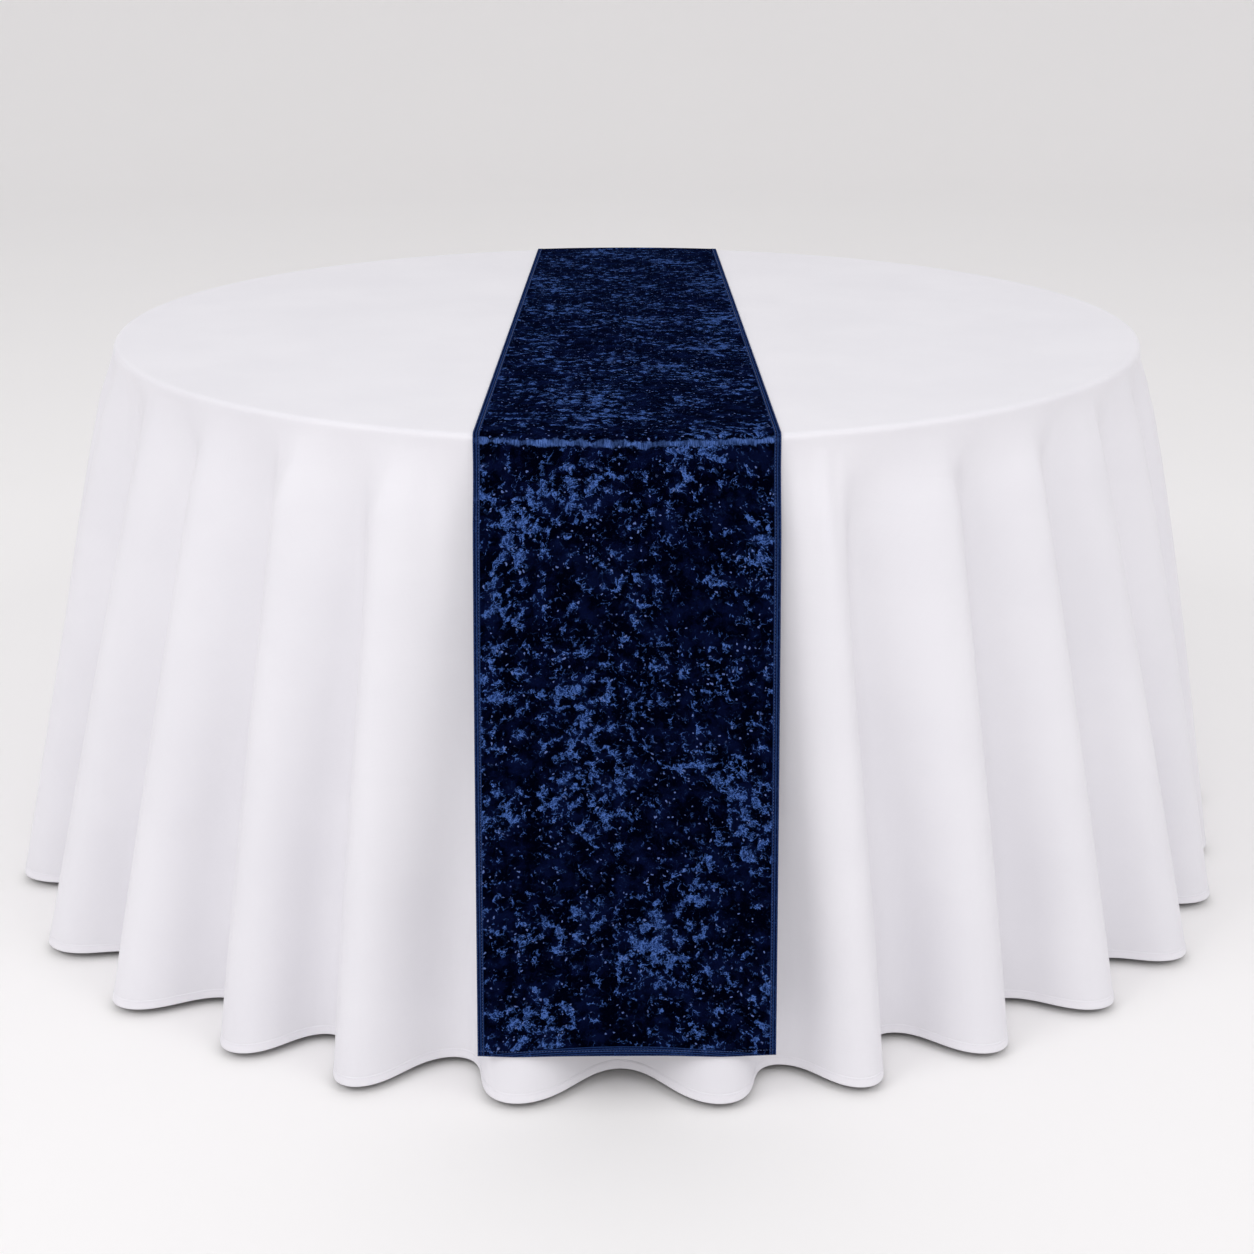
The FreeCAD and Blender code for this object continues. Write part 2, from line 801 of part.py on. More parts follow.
make_table_top()
make_edge_band()
for side in SIDES:
    for end in ENDS:
        saddle_screw = dim("tube_radius") + dim("saddle_play") + dim("saddle_wall") + dim("saddle_flange") * 0.5
        make_block(
            f"{side}_block_{end}",
            hinge_across(side),
            dim("saddle_spacing") * ENDS[end],
            dim("block_length"),
            dim("block_width"),
            block_thick(side),
            saddle_screw,
            ZERO,
        )
        make_saddle(side, end)
        make_foot(side, end)
    make_leg_frame(side)
    make_stretcher(side)
    make_clevis(side)
    make_stay_pin(side)
    make_stay(side)
    make_screws(side, "saddle")
    make_screws(side, "clevis")
make_block(
    "right_block_middle",
    stay_pivot_across("right"),
    ZERO,
    dim("clevis_length"),
    dim("clevis_width"),
    dim("right_block") - dim("left_block"),
    dim("clevis_screw"),
    dim("clevis_screw_side"),
)
make_tablecloth()
make_tablecloth_hem()
make_runner()

document.recompute()

# ---------------------------------------------------------------- check and write

for thing in document.Objects:
    if {"Invalid", "Error"} & set(thing.State):
        raise ValueError(f"{thing.Name} ({thing.Label}) failed: {thing.State}")

os.makedirs("parts", exist_ok=True)
for part in finished_parts:
    shape = part.Shape
    if shape.isNull() or not shape.isValid() or not shape.Solids:
        raise ValueError(f"{part.Label} has no valid solid")
    shape.exportStep(f"parts/{part.Label}.step")
    box = shape.BoundBox
    print(
        f"{part.Label}: {len(shape.Solids)} solid(s), {shape.Volume / 1000:.1f} cm3, "
        f"x {box.XMin:.1f}..{box.XMax:.1f}, y {box.YMin:.1f}..{box.YMax:.1f}, z {box.ZMin:.1f}..{box.ZMax:.1f}"
    )
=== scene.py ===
# Looks for a round folding table dressed with a white floor-length tablecloth and a crushed-velvet runner.
# Everything is in metres in the CAD frame: +X is right, the camera looks along +Y, Z is up, floor at z = 0.
# Directions round the table are azimuths: 0 at the front (-Y), positive towards +X.

import math

import bpy
import numpy as np
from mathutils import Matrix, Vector


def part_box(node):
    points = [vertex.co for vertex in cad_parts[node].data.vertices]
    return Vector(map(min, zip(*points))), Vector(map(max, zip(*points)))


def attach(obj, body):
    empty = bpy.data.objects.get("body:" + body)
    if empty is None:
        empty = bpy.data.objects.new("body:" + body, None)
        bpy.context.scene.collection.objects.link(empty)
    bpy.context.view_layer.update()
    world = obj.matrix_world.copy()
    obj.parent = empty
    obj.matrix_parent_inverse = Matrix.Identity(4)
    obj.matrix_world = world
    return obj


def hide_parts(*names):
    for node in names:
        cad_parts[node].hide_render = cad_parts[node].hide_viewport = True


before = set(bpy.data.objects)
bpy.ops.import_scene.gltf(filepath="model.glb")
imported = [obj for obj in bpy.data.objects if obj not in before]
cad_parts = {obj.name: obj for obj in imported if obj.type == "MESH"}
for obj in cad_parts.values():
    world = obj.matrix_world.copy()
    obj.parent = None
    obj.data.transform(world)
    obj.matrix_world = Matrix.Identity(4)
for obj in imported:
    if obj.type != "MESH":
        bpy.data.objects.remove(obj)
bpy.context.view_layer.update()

SEED = 11
random = np.random.default_rng(SEED)

# ---------------------------------------------------------------- sizes

TABLE_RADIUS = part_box("edge_band")[1].x
TABLE_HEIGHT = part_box("table_top")[1].z
CLOTH_CUT_RADIUS = 1.524          # a 120 inch round cloth
CLOTH_HALF_THICK = 0.0003
HEM_HALF_THICK = 0.0009
HEM_DEPTH = 0.012
RUNNER_HALF_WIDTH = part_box("runner_side_hem_right")[1].x
RUNNER_END_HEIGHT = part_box("runner_end_hem_front")[0].z
RUNNER_HALF_THICK = 0.0005
RUNNER_HEM_HALF_THICK = 0.0008
RUNNER_HEM = 0.009

RIM_RADIUS = TABLE_RADIUS + 0.004 # middle of the cloth where it turns over the table's edge
CLOTH_TOP = TABLE_HEIGHT + 0.0009 # middle of the cloth on the table
CLOTH_DROP = CLOTH_CUT_RADIUS - RIM_RADIUS
BEND = 0.0075                     # half the length of cloth that the turn takes up

# ---------------------------------------------------------------- small helpers


def smooth(value, low, high):
    """0 below low, 1 above high, and an S-shaped ramp between."""
    share = np.clip((value - low) / (high - low), 0.0, 1.0)
    return share * share * (3.0 - 2.0 * share)


def ring_spline(values, phase):
    """A smooth closed curve through one value per fold, at its crest, read at a phase counted in folds."""
    values = np.asarray(values, float)
    count = len(values)
    neighbours = np.roll(np.eye(count), 1, 0) + np.roll(np.eye(count), -1, 0)
    steps = np.roll(values, 1) - 2.0 * values + np.roll(values, -1)
    bend = np.linalg.solve(4.0 * np.eye(count) + neighbours, 6.0 * steps)
    place = phase - 0.5
    low = np.floor(place).astype(int) % count
    high = (low + 1) % count
    t = place - np.floor(place)
    straight = (1.0 - t) * values[low] + t * values[high]
    return straight + (((1.0 - t) ** 3 - (1.0 - t)) * bend[low] + (t**3 - t) * bend[high]) / 6.0


def running_sum(steps):
    """The sum down the rows, starting with a row of zeros."""
    return np.concatenate([np.zeros_like(steps[:1]), np.cumsum(steps, 0)])


def grid_normals(points, across_closed):
    """Unit normals of a (rows, columns, 3) grid."""
    down = np.gradient(points, axis=0)
    if across_closed:
        across = np.roll(points, -1, 1) - np.roll(points, 1, 1)
    else:
        across = np.gradient(points, axis=1)
    normal = np.cross(down, across)
    return normal / np.maximum(np.linalg.norm(normal, axis=2, keepdims=True), 1e-12)


def make_piece(name, points, faces, material, uv=None):
    """A smooth-shaded mesh object, with an optional UV map named "flat" given for each vertex."""
    mesh = bpy.data.meshes.new(name)
    mesh.from_pydata(np.asarray(points, float).reshape(-1, 3).tolist(), [], faces)
    mesh.shade_smooth()
    if uv is not None:
        corner = np.zeros(len(mesh.loops), np.int32)
        mesh.loops.foreach_get("vertex_index", corner)
        layer = mesh.uv_layers.new(name="flat")
        layer.data.foreach_set("uv", np.asarray(uv, np.float32).reshape(-1, 2)[corner].ravel())
    mesh.materials.append(material)
    piece = bpy.data.objects.new(name, mesh)
    bpy.context.scene.collection.objects.link(piece)
    return piece


def band_faces(rows, columns):
    """Quads between successive rows of a grid whose columns close round."""
    index = np.arange(rows * columns).reshape(rows, columns)
    here, right = index, np.roll(index, -1, 1)
    quads = np.stack([here[:-1], here[1:], right[1:], right[:-1]], 2)
    return quads.reshape(-1, 4).tolist()


# ---------------------------------------------------------------- the shape of the draped tablecloth

# each front fold: azimuth in degrees, how far its hem stands out past the usual in metres,
# how far it leans over sideways, and the share of the cut's spare width that shows in it
FRONT_FOLDS = (
    (-66.0, 0.020, -0.30, 0.66),
    (-52.6, 0.034, -0.35, 0.70),
    (-41.2, 0.036, -0.35, 0.72),
    (-30.0, 0.022, -0.35, 0.80),
    (-20.0, 0.020, -0.35, 0.80),
    (-8.0, 0.006, -0.35, 0.34),
    (6.8, 0.004, 0.35, 0.32),
    (17.4, 0.008, 0.40, 0.70),
    (28.3, 0.008, 0.40, 0.76),
    (39.5, 0.016, 0.40, 0.72),
    (50.2, 0.024, 0.35, 0.70),
    (61.0, 0.006, 0.30, 0.66),
)
BACK_CREST_COUNT = 21
BACK_JITTER = 1.3                 # degrees either way from even spacing
BACK_FLARE = (-0.004, 0.010)      # least and most
BACK_PULL_IN = 0.014              # less flare on the right side than on the left
BACK_LEAN = 0.35                  # at most, to either side
BACK_FULLNESS = (0.54, 0.66)      # least and most
HEM_LEVEL = 0.010                 # the hem hangs level, just clear of the floor
SPARE_DROP = 0.060                # length past the cut's own drop from which the level hem is taken
CREST_SLOPE = 0.215               # how fast the crests move out on the way down
# what pushes the crests further out below the rim: how far, and within what drop
CREST_SWELLS = ((0.0225, 0.25), (0.0039, 0.03))
FLARE_POWER = 1.3
VALLEY_TUCK = 0.0015              # the valleys lie this much inside the rim, against the table's edge
VALLEY_TUCK_DROP = 0.010
DEPTH_SOFTNESS = 0.004            # rounds the change from a valley on the table's edge to a free one
FOLD_START = (0.015, 0.040)       # the drop at which a front fold starts, and how much sooner at the sides
FOLD_START_JITTER = (-0.008, 0.012)
FOLD_RAMP = (-0.045, 0.105)       # a fold deepens between these drops, counted from its start
FOLD_DRIFT = 1.2                  # degrees that a fold's top may stand aside of its foot
LEAN_LOW = 0.55                   # share of the lean at the hem
LEAN_HIGH = 2.1                   # more of it near the rim
STEEPEST = 0.985                  # the most that the sheet may move level for each metre of its length
FOLDS = len(FRONT_FOLDS) + BACK_CREST_COUNT
SAMPLES_PER_FOLD = 36
COLUMNS = FOLDS * SAMPLES_PER_FOLD
FINE_STEP = 0.0015                # between the rows that the drape is worked out on
SWING_ROWS = 41                   # rows at which the folds' swing is looked up, the rest lying between


def fold_list():
    """The front folds as seen, then the rest evenly spread round the back with some jitter."""
    front = np.array(FRONT_FOLDS)
    start, end = front[-1, 0], front[0, 0] + 360.0
    step = (end - start) / (BACK_CREST_COUNT + 1)
    bearing = start + step * np.arange(1, BACK_CREST_COUNT + 1)
    bearing = bearing + random.uniform(-BACK_JITTER, BACK_JITTER, BACK_CREST_COUNT)
    flare = random.uniform(*BACK_FLARE, BACK_CREST_COUNT)
    flare = flare - BACK_PULL_IN * np.maximum(np.sin(np.radians(bearing)), 0.0)
    lean = random.uniform(-BACK_LEAN, BACK_LEAN, BACK_CREST_COUNT)
    fullness = random.uniform(*BACK_FULLNESS, BACK_CREST_COUNT)
    back = np.stack([bearing, flare, lean, fullness], 1)
    return np.concatenate([front, back])


class Meander:
    """The wavy line of a sheet in folds: its direction swings by swing * sin(q) along one fold."""

    def __init__(self):
        fine = 8                  # steps of the running sums for each sample
        self.swings = np.linspace(0.0, 1.6, 161)
        q = np.linspace(0.0, 2.0 * np.pi, SAMPLES_PER_FOLD * fine + 1)
        direction = self.swings[:, None] * np.sin(q)[None, :]
        self.along = self._running(np.cos(direction), q)[:, ::fine]
        self.height = self._running(np.sin(direction), q)[:, ::fine]
        self.ratio = self.along[:, -1] / (2.0 * np.pi)
        self.reach = self.height[:, SAMPLES_PER_FOLD // 2]
        self.q = q[::fine]

    @staticmethod
    def _running(values, q):
        step = q[1] - q[0]
        area = np.cumsum((values[:, 1:] + values[:, :-1]) * 0.5 * step, axis=1)
        return np.concatenate([np.zeros((len(values), 1)), area], axis=1)

    def read(self, table, swing, sample):
        """table at a (rows, columns) array of swings, each column at its own sample of the fold."""
        place = np.clip(swing, 0.0, self.swings[-1] - 1e-6) / (self.swings[1] - self.swings[0])
        low = place.astype(int)
        t = place - low
        return (1.0 - t) * table[low, sample[None, :]] + t * table[low + 1, sample[None, :]]


def fold_character(folds, phase):
    """How each fold differs from the next, as smooth curves of the phase."""
    bearing = np.radians(folds[:, 0])
    front = np.cos(bearing) > 0
    start = np.where(front, FOLD_START[0] - FOLD_START[1] * np.sin(bearing) ** 2, 0.0)
    start = start + random.uniform(*FOLD_START_JITTER, FOLDS)
    drift = np.radians(random.uniform(-FOLD_DRIFT, FOLD_DRIFT, FOLDS))
    values = {"start": start, "drift": drift}
    values.update(flare=folds[:, 1], lean=folds[:, 2], fullness=folds[:, 3])
    return {name: ring_spline(value, phase)[None, :] for name, value in values.items()}


def streaks(azimuth, drop):
    """Fine upright ripples just under the rim, where the sheet has more cloth than the folds take up."""
    ripple_count, fewest_waves, most_waves = 14, 80, 210
    patch_count, fewest_patches, most_patches = 6, 7, 40
    height = 0.00026
    total = np.zeros_like(azimuth)
    for _ in range(ripple_count):
        waves = random.integers(fewest_waves, most_waves)
        total += np.cos(waves * azimuth + random.uniform(0, 2 * np.pi)) * random.uniform(0.5, 1.0)
    patch = np.zeros_like(azimuth)
    for _ in range(patch_count):
        waves = random.integers(fewest_patches, most_patches)
        patch += np.cos(waves * azimuth + random.uniform(0, 2 * np.pi))
    total *= height * smooth(patch, -1.0, 3.0)
    fade = smooth(drop, 0.006, 0.040) * (1.0 - smooth(drop, 0.09, 0.30))
    return fade[:, None] * total[None, :]


def drape():
    """The middle surface of the hanging cloth, as fine rows from just inside the rim to the hem."""
    meander = Meander()
    phase = np.arange(COLUMNS) / SAMPLES_PER_FOLD
    sample = np.arange(COLUMNS) % SAMPLES_PER_FOLD
    q = meander.q[sample]
    ring = 2.0 * np.pi / FOLDS
    folds = fold_list()
    azimuth = ring * (phase - 0.5) + ring_spline(np.radians(folds[:, 0]) - ring * np.arange(FOLDS), phase)
    wide = np.concatenate([azimuth[-1:] - 2 * np.pi, azimuth, azimuth[:1] + 2 * np.pi])
    spread = (wide[2:] - wide[:-2]) * 0.5 * SAMPLES_PER_FOLD
    character = fold_character(folds, phase)

    drop = np.arange(0.0, CLOTH_DROP + SPARE_DROP, FINE_STEP)
    s = drop[:, None]
    down_share = s / CLOTH_DROP
    crest_radius = RIM_RADIUS + CREST_SLOPE * s
    for reach, within in CREST_SWELLS:
        crest_radius = crest_radius + reach * (1 - np.exp(-s / within))
    crest_radius = crest_radius + character["flare"] * down_share**FLARE_POWER
    spare = RIM_RADIUS + s - crest_radius
    fold_length = (crest_radius + character["fullness"] * spare) * spread[None, :]

    # the swing with which each fold takes up its whole length at this crest radius
    coarse = np.linspace(0, len(drop) - 1, SWING_ROWS).astype(int)
    swing_rows = []
    for row in coarse:
        reach = meander.ratio[:, None] * (fold_length[row] / spread)[None, :]
        reach = reach + meander.reach[:, None] * fold_length[row][None, :] / (4 * np.pi)
        over = reach >= crest_radius[row][None, :]
        last = np.clip(len(over) - 1 - np.argmax(over[::-1], axis=0), 0, len(over) - 2)
        columns = np.arange(COLUMNS)
        high, low = reach[last, columns], reach[last + 1, columns]
        t = np.clip((high - crest_radius[row]) / np.maximum(high - low, 1e-9), 0, 1)
        swing_rows.append((last + t) * meander.swings[1])
    swing_rows = np.array(swing_rows)
    place = np.interp(np.arange(len(drop)), coarse, np.arange(len(coarse)))
    low = np.minimum(place.astype(int), len(coarse) - 2)
    t = (place - low)[:, None]
    full_swing = (1 - t) * swing_rows[low] + t * swing_rows[low + 1]

    full_depth = np.interp(full_swing, meander.swings, meander.reach) * fold_length / (2 * np.pi)
    least_valley = RIM_RADIUS - VALLEY_TUCK * (1 - np.exp(-s / VALLEY_TUCK_DROP))
    room = crest_radius - least_valley
    depth = 0.5 * (full_depth + room - np.sqrt((full_depth - room) ** 2 + DEPTH_SOFTNESS**2))
    depth = np.maximum(depth, 0.0)
    valley = np.maximum(crest_radius - depth, least_valley)
    depth = depth * smooth(s, character["start"] + FOLD_RAMP[0], character["start"] + FOLD_RAMP[1])
    swing = np.interp(depth * 2 * np.pi / fold_length, meander.reach, meander.swings)

    rise = meander.read(meander.height, swing, sample) * fold_length / (2 * np.pi)
    along = meander.read(meander.along, swing, sample)
    ratio = np.interp(swing, meander.swings, meander.ratio)
    radius = valley + rise + streaks(azimuth, drop)
    sideways = (along - ratio * q[None, :]) * fold_length / (2 * np.pi)
    leaning = character["lean"] * (LEAN_LOW + LEAN_HIGH * (1.0 - smooth(down_share, 0.05, 0.85)))
    sideways = sideways + leaning * (rise - depth)
    drifting = character["drift"] * (1 - down_share) * smooth(s, 0.0, 0.12)
    angle = azimuth[None, :] + sideways / radius + drifting
    hanging = np.stack([radius * np.sin(angle), -radius * np.cos(angle)], 2)

    # turn over the rim: the flat cloth's direction fades into the hanging one's
    before = int(round(BEND / FINE_STEP))
    velocity = np.gradient(hanging, FINE_STEP, axis=0)
    velocity = np.concatenate([np.repeat(velocity[:1], before, 0), velocity])
    way = np.concatenate([-FINE_STEP * np.arange(before, 0, -1), drop])
    outward = np.stack([np.sin(azimuth), -np.cos(azimuth)], 1)[None]
    weight = smooth(way, -BEND, BEND)[:, None, None]
    velocity = (1 - weight) * outward + weight * velocity
    speed = np.linalg.norm(velocity, axis=2)
    still_flat = weight[:, :, 0] < 0.05
    velocity *= np.minimum(1.0, STEEPEST / np.maximum(speed, 1e-9) + still_flat)[:, :, None]
    fall = np.sqrt(np.maximum(1.0 - np.linalg.norm(velocity, axis=2) ** 2, 0.0))
    middle = 0.5 * FINE_STEP
    step = (velocity[1:] + velocity[:-1]) * middle
    plan = (RIM_RADIUS - BEND) * outward + running_sum(step)
    step = (fall[1:] + fall[:-1]) * middle
    height = CLOTH_TOP - running_sum(step)
    points = np.concatenate([plan, height[:, :, None]], 2)
    below = np.argmax(height < HEM_LEVEL, axis=0)
    column = np.arange(COLUMNS)
    past = (HEM_LEVEL - height[below, column]) / (height[below - 1, column] - height[below, column])
    return {"way": way, "points": points, "azimuth": azimuth, "hem": way[below] - FINE_STEP * past}


shape = drape()


def read_cloth(ways):
    """Points, normals and flat coordinates of the middle surface at a (rows, columns) array of ways."""
    place = np.clip((ways - shape["way"][0]) / FINE_STEP, 0, len(shape["way"]) - 1.001)
    low = place.astype(int)
    t = (place - low)[:, :, None]
    column = np.arange(COLUMNS)[None, :]
    points = (1 - t) * shape["points"][low, column] + t * shape["points"][low + 1, column]
    normals = (1 - t) * shape["normals"][low, column] + t * shape["normals"][low + 1, column]
    flat_radius = (RIM_RADIUS + ways)[:, :, None]
    direction = np.stack([np.sin(shape["azimuth"]), -np.cos(shape["azimuth"])], 1)
    return points, normals, flat_radius * direction[None]


shape["normals"] = grid_normals(shape["points"], True)


# ---------------------------------------------------------------- materials


class Nodes:
    """One material: a Principled shader and short forms for the nodes that feed it."""

    def __init__(self, name, **settings):
        self.material = bpy.data.materials.new(name)
        self.material.use_nodes = True
        self.tree = self.material.node_tree
        self.tree.nodes.clear()
        output = self.tree.nodes.new("ShaderNodeOutputMaterial")
        self.shader = self.tree.nodes.new("ShaderNodeBsdfPrincipled")
        self.tree.links.new(self.shader.outputs[0], output.inputs[0])
        for socket, value in settings.items():
            self.shader.inputs[socket.replace("_", " ")].default_value = value

    def add(self, kind, inputs=None, **properties):
        node = self.tree.nodes.new("ShaderNode" + kind)
        for key, value in properties.items():
            setattr(node, key, value)
        for key, value in (inputs or {}).items():
            self.feed(node.inputs[key], value)
        return node

    def feed(self, socket, value):
        if isinstance(value, bpy.types.NodeSocket):
            self.tree.links.new(value, socket)
        else:
            socket.default_value = value

    def math(self, operation, *values):
        return self.add("Math", dict(enumerate(values)), operation=operation).outputs[0]

    def flat(self, *scale):
        """The piece's own flat cloth coordinates in metres, times scale."""
        source = self.add("UVMap", uv_map="flat").outputs[0]
        return self.scaled(source, scale)

    def place(self, *scale):
        """The object's coordinates in metres, times scale."""
        return self.scaled(self.add("TexCoord").outputs["Object"], scale)

    def scaled(self, source, scale):
        scale = scale or (1, 1, 1)
        return self.add("VectorMath", {0: source, 1: scale}, operation="MULTIPLY").outputs[0]

    def split(self, vector):
        return self.add("SeparateXYZ", {0: vector}).outputs

    def noise(self, vector, scale, detail=3.0, rough=0.55, output="Fac"):
        inputs = {"Vector": vector, "Scale": scale, "Detail": detail, "Roughness": rough}
        return self.add("TexNoise", inputs).outputs[output]

    def cells(self, vector, scale, output="Distance"):
        return self.add("TexVoronoi", {"Vector": vector, "Scale": scale}).outputs[output]

    def between(self, value, low, high):
        """0 below low and 1 above high, smoothly; low may be the larger."""
        inputs = {"Value": value, 1: low, 2: high}
        return self.add("MapRange", inputs, interpolation_type="SMOOTHSTEP").outputs[0]

    def mix(self, share, first, second):
        node = self.add("Mix", data_type="RGBA")
        self.feed(node.inputs[0], share)
        self.feed(node.inputs[6], first)
        self.feed(node.inputs[7], second)
        return node.outputs[2]

    def bump(self, height, depth, strength=1.0):
        inputs = {"Height": height, "Distance": depth, "Strength": strength}
        self.feed(self.shader.inputs["Normal"], self.add("Bump", inputs).outputs[0])

    def colour(self, value):
        self.feed(self.shader.inputs["Base Color"], value)

    def roughness(self, value):
        self.feed(self.shader.inputs["Roughness"], value)


def threads(nodes, vector, pitch):
    """A plain weave's height: two sets of threads that cross over and under, pitch apart."""
    x, y, _ = nodes.split(vector)
    turn_x = nodes.math("MULTIPLY", x, math.pi / pitch)
    turn_y = nodes.math("MULTIPLY", y, math.pi / pitch)
    warp = nodes.math("MULTIPLY", nodes.math("SINE", turn_x), nodes.math("COSINE", turn_y))
    return nodes.math("ABSOLUTE", warp)


def white_cloth(name, brightness=1.0):
    """Smooth white polyester: fine plain weave, slubby threads, a soft sheen and slight unevenness."""
    nodes = Nodes(name, Sheen_Weight=0.12, Sheen_Roughness=0.45, Specular_IOR_Level=0.55)
    flat = nodes.flat()
    weave = threads(nodes, flat, 0.0007)
    slub_x = nodes.noise(nodes.flat(40, 900, 1), 1.0, 2.0)
    slub_y = nodes.noise(nodes.flat(900, 40, 1), 1.0, 2.0)
    slubs = nodes.math("ADD", slub_x, slub_y)
    cloudy = nodes.noise(flat, 5.0, 3.0)
    light = tuple(brightness * c for c in (0.794, 0.782, 0.822)) + (1.0,)
    shade = tuple(brightness * c for c in (0.766, 0.754, 0.796)) + (1.0,)
    uneven = nodes.math("ADD", nodes.math("MULTIPLY", cloudy, 0.7), nodes.math("MULTIPLY", slubs, 0.15))
    nodes.colour(nodes.mix(nodes.between(uneven, 0.35, 0.65), light, shade))
    nodes.roughness(nodes.math("ADD", 0.46, nodes.math("MULTIPLY", slubs, 0.08)))
    height = nodes.math("ADD", nodes.math("MULTIPLY", weave, 0.5), nodes.math("MULTIPLY", slubs, 0.5))
    nodes.bump(height, 0.00010, 0.5)
    return nodes.material


def velvet(name, half_width, rim_distance, half_length):
    """Crushed navy velvet: dark pile, with ragged patches, twigs and specks where it lies over and shines."""
    nodes = Nodes(name, Specular_IOR_Level=0.0, IOR=1.2, Sheen_Weight=0.05, Sheen_Roughness=0.3,
                  Sheen_Tint=(0.05, 0.13, 0.60, 1.0))
    flat = nodes.flat()
    wander = nodes.noise(flat, 70.0, 3.0, 0.6, output="Color")
    centred = nodes.add("VectorMath", {0: wander, 1: (0.5, 0.5, 0.5)}, operation="SUBTRACT").outputs[0]
    offset = nodes.scaled(centred, (0.012, 0.012, 0))
    warped = nodes.add("VectorMath", {0: flat, 1: offset}, operation="ADD").outputs[0]
    x, y, _ = nodes.split(flat)

    # where the crushing is dense
    cluster = nodes.noise(flat, 10.0, 2.0, 0.5)
    ragged = nodes.noise(warped, 70.0, 4.0, 0.62)
    crushed = nodes.math("ADD", ragged, nodes.math("MULTIPLY", nodes.math("SUBTRACT", cluster, 0.5), 0.50))
    glow = nodes.between(crushed, 0.54, 0.72)
    patch = nodes.between(crushed, 0.572, 0.604)

    # a net of strands inside the patches, finely hatched by the weave
    net = nodes.math("ABSOLUTE", nodes.math("SUBTRACT", nodes.noise(warped, 150.0, 2.0, 0.5), 0.5))
    fine_net = nodes.math("ABSOLUTE", nodes.math("SUBTRACT", nodes.noise(warped, 300.0, 2.0, 0.5), 0.5))
    strand = nodes.math("MAXIMUM", nodes.between(net, 0.044, 0.014),
                        nodes.math("MULTIPLY", nodes.between(fine_net, 0.034, 0.010), 0.80))
    slanted = nodes.math("ADD", y, nodes.math("MULTIPLY", x, 0.35))
    hatch = nodes.math("SINE", nodes.math("MULTIPLY", slanted, 2600.0))
    weave = nodes.math("ADD", 0.85, nodes.math("MULTIPLY", hatch, 0.15))
    strand = nodes.math("MULTIPLY", nodes.math("MULTIPLY", strand, patch), weave)

    # twigs: thin broken lines along the level lines of a coarser noise
    level = nodes.math("ABSOLUTE", nodes.math("SUBTRACT", nodes.noise(warped, 105.0, 2.0, 0.5), 0.5))
    broken = nodes.between(nodes.noise(flat, 130.0, 2.0), 0.48, 0.58)
    near_patch = nodes.between(crushed, 0.44, 0.58)
    twig = nodes.math("MULTIPLY", nodes.between(level, 0.032, 0.010), broken)
    twig = nodes.math("MULTIPLY", twig, nodes.math("ADD", 0.06, nodes.math("MULTIPLY", near_patch, 0.94)))

    # specks of light on single tufts
    speck = nodes.between(nodes.cells(warped, 240.0), 0.36, 0.20)
    chosen = nodes.split(nodes.cells(warped, 240.0, output="Color"))[0]
    speck = nodes.math("MULTIPLY", speck, nodes.between(chosen, 0.88, 0.94))

    marble = nodes.noise(warped, 34.0, 5.0, 0.65)
    nearly_black, deep_navy = (0.0002, 0.0004, 0.0035, 1), (0.0016, 0.0034, 0.0200, 1)
    glow_blue, strand_blue = (0.0090, 0.0235, 0.098, 1), (0.066, 0.138, 0.410, 1)
    twig_blue, speck_blue = (0.040, 0.092, 0.290, 1), (0.110, 0.165, 0.400, 1)
    base = nodes.mix(nodes.between(marble, 0.44, 0.64), nearly_black, deep_navy)
    colour = nodes.mix(glow, base, glow_blue)
    colour = nodes.mix(strand, colour, strand_blue)
    colour = nodes.mix(nodes.math("MULTIPLY", twig, 0.80), colour, twig_blue)
    colour = nodes.mix(nodes.math("MULTIPLY", speck, 0.85), colour, speck_blue)

    # painted highlight: a lighter, ragged blue band where the runner turns over the table's edge, standing in
    # for the light caught on the bend
    turn_middle = rim_distance + 0.004
    along = nodes.math("ABSOLUTE", y)
    squared = nodes.math("SUBTRACT", rim_distance**2, nodes.math("MULTIPLY", x, x))
    edge_bow = nodes.math("SUBTRACT", rim_distance, nodes.math("SQRT", squared))
    from_rim = nodes.math("SUBTRACT", nodes.math("ADD", along, edge_bow), turn_middle)
    from_rim = nodes.math("ABSOLUTE", from_rim)
    highlight_edge_jitter = nodes.math("MULTIPLY", nodes.math("SUBTRACT", ragged, 0.5), 0.022)
    jittered_rim_distance = nodes.math("ADD", from_rim, highlight_edge_jitter)
    # painted highlight: how strongly the band near the rim is lightened
    painted_rim_highlight = nodes.between(jittered_rim_distance, 0.0044, 0.0014)
    patchy = nodes.between(nodes.noise(nodes.flat(55, 25, 1), 1.0, 3.0), 0.38, 0.56)
    painted_rim_highlight = nodes.math("MULTIPLY", painted_rim_highlight, nodes.math("ADD", 0.35, nodes.math("MULTIPLY", patchy, 0.65)))
    tufts = nodes.between(nodes.noise(nodes.flat(900, 120, 1), 1.0, 3.0), 0.36, 0.62)
    # the painted highlight's two blues, streaked along the pile
    rim_highlight_blues = nodes.mix(tufts, (0.018, 0.044, 0.155, 1), (0.080, 0.155, 0.430, 1))
    colour = nodes.mix(nodes.math("MULTIPLY", painted_rim_highlight, 0.9), colour, rim_highlight_blues)

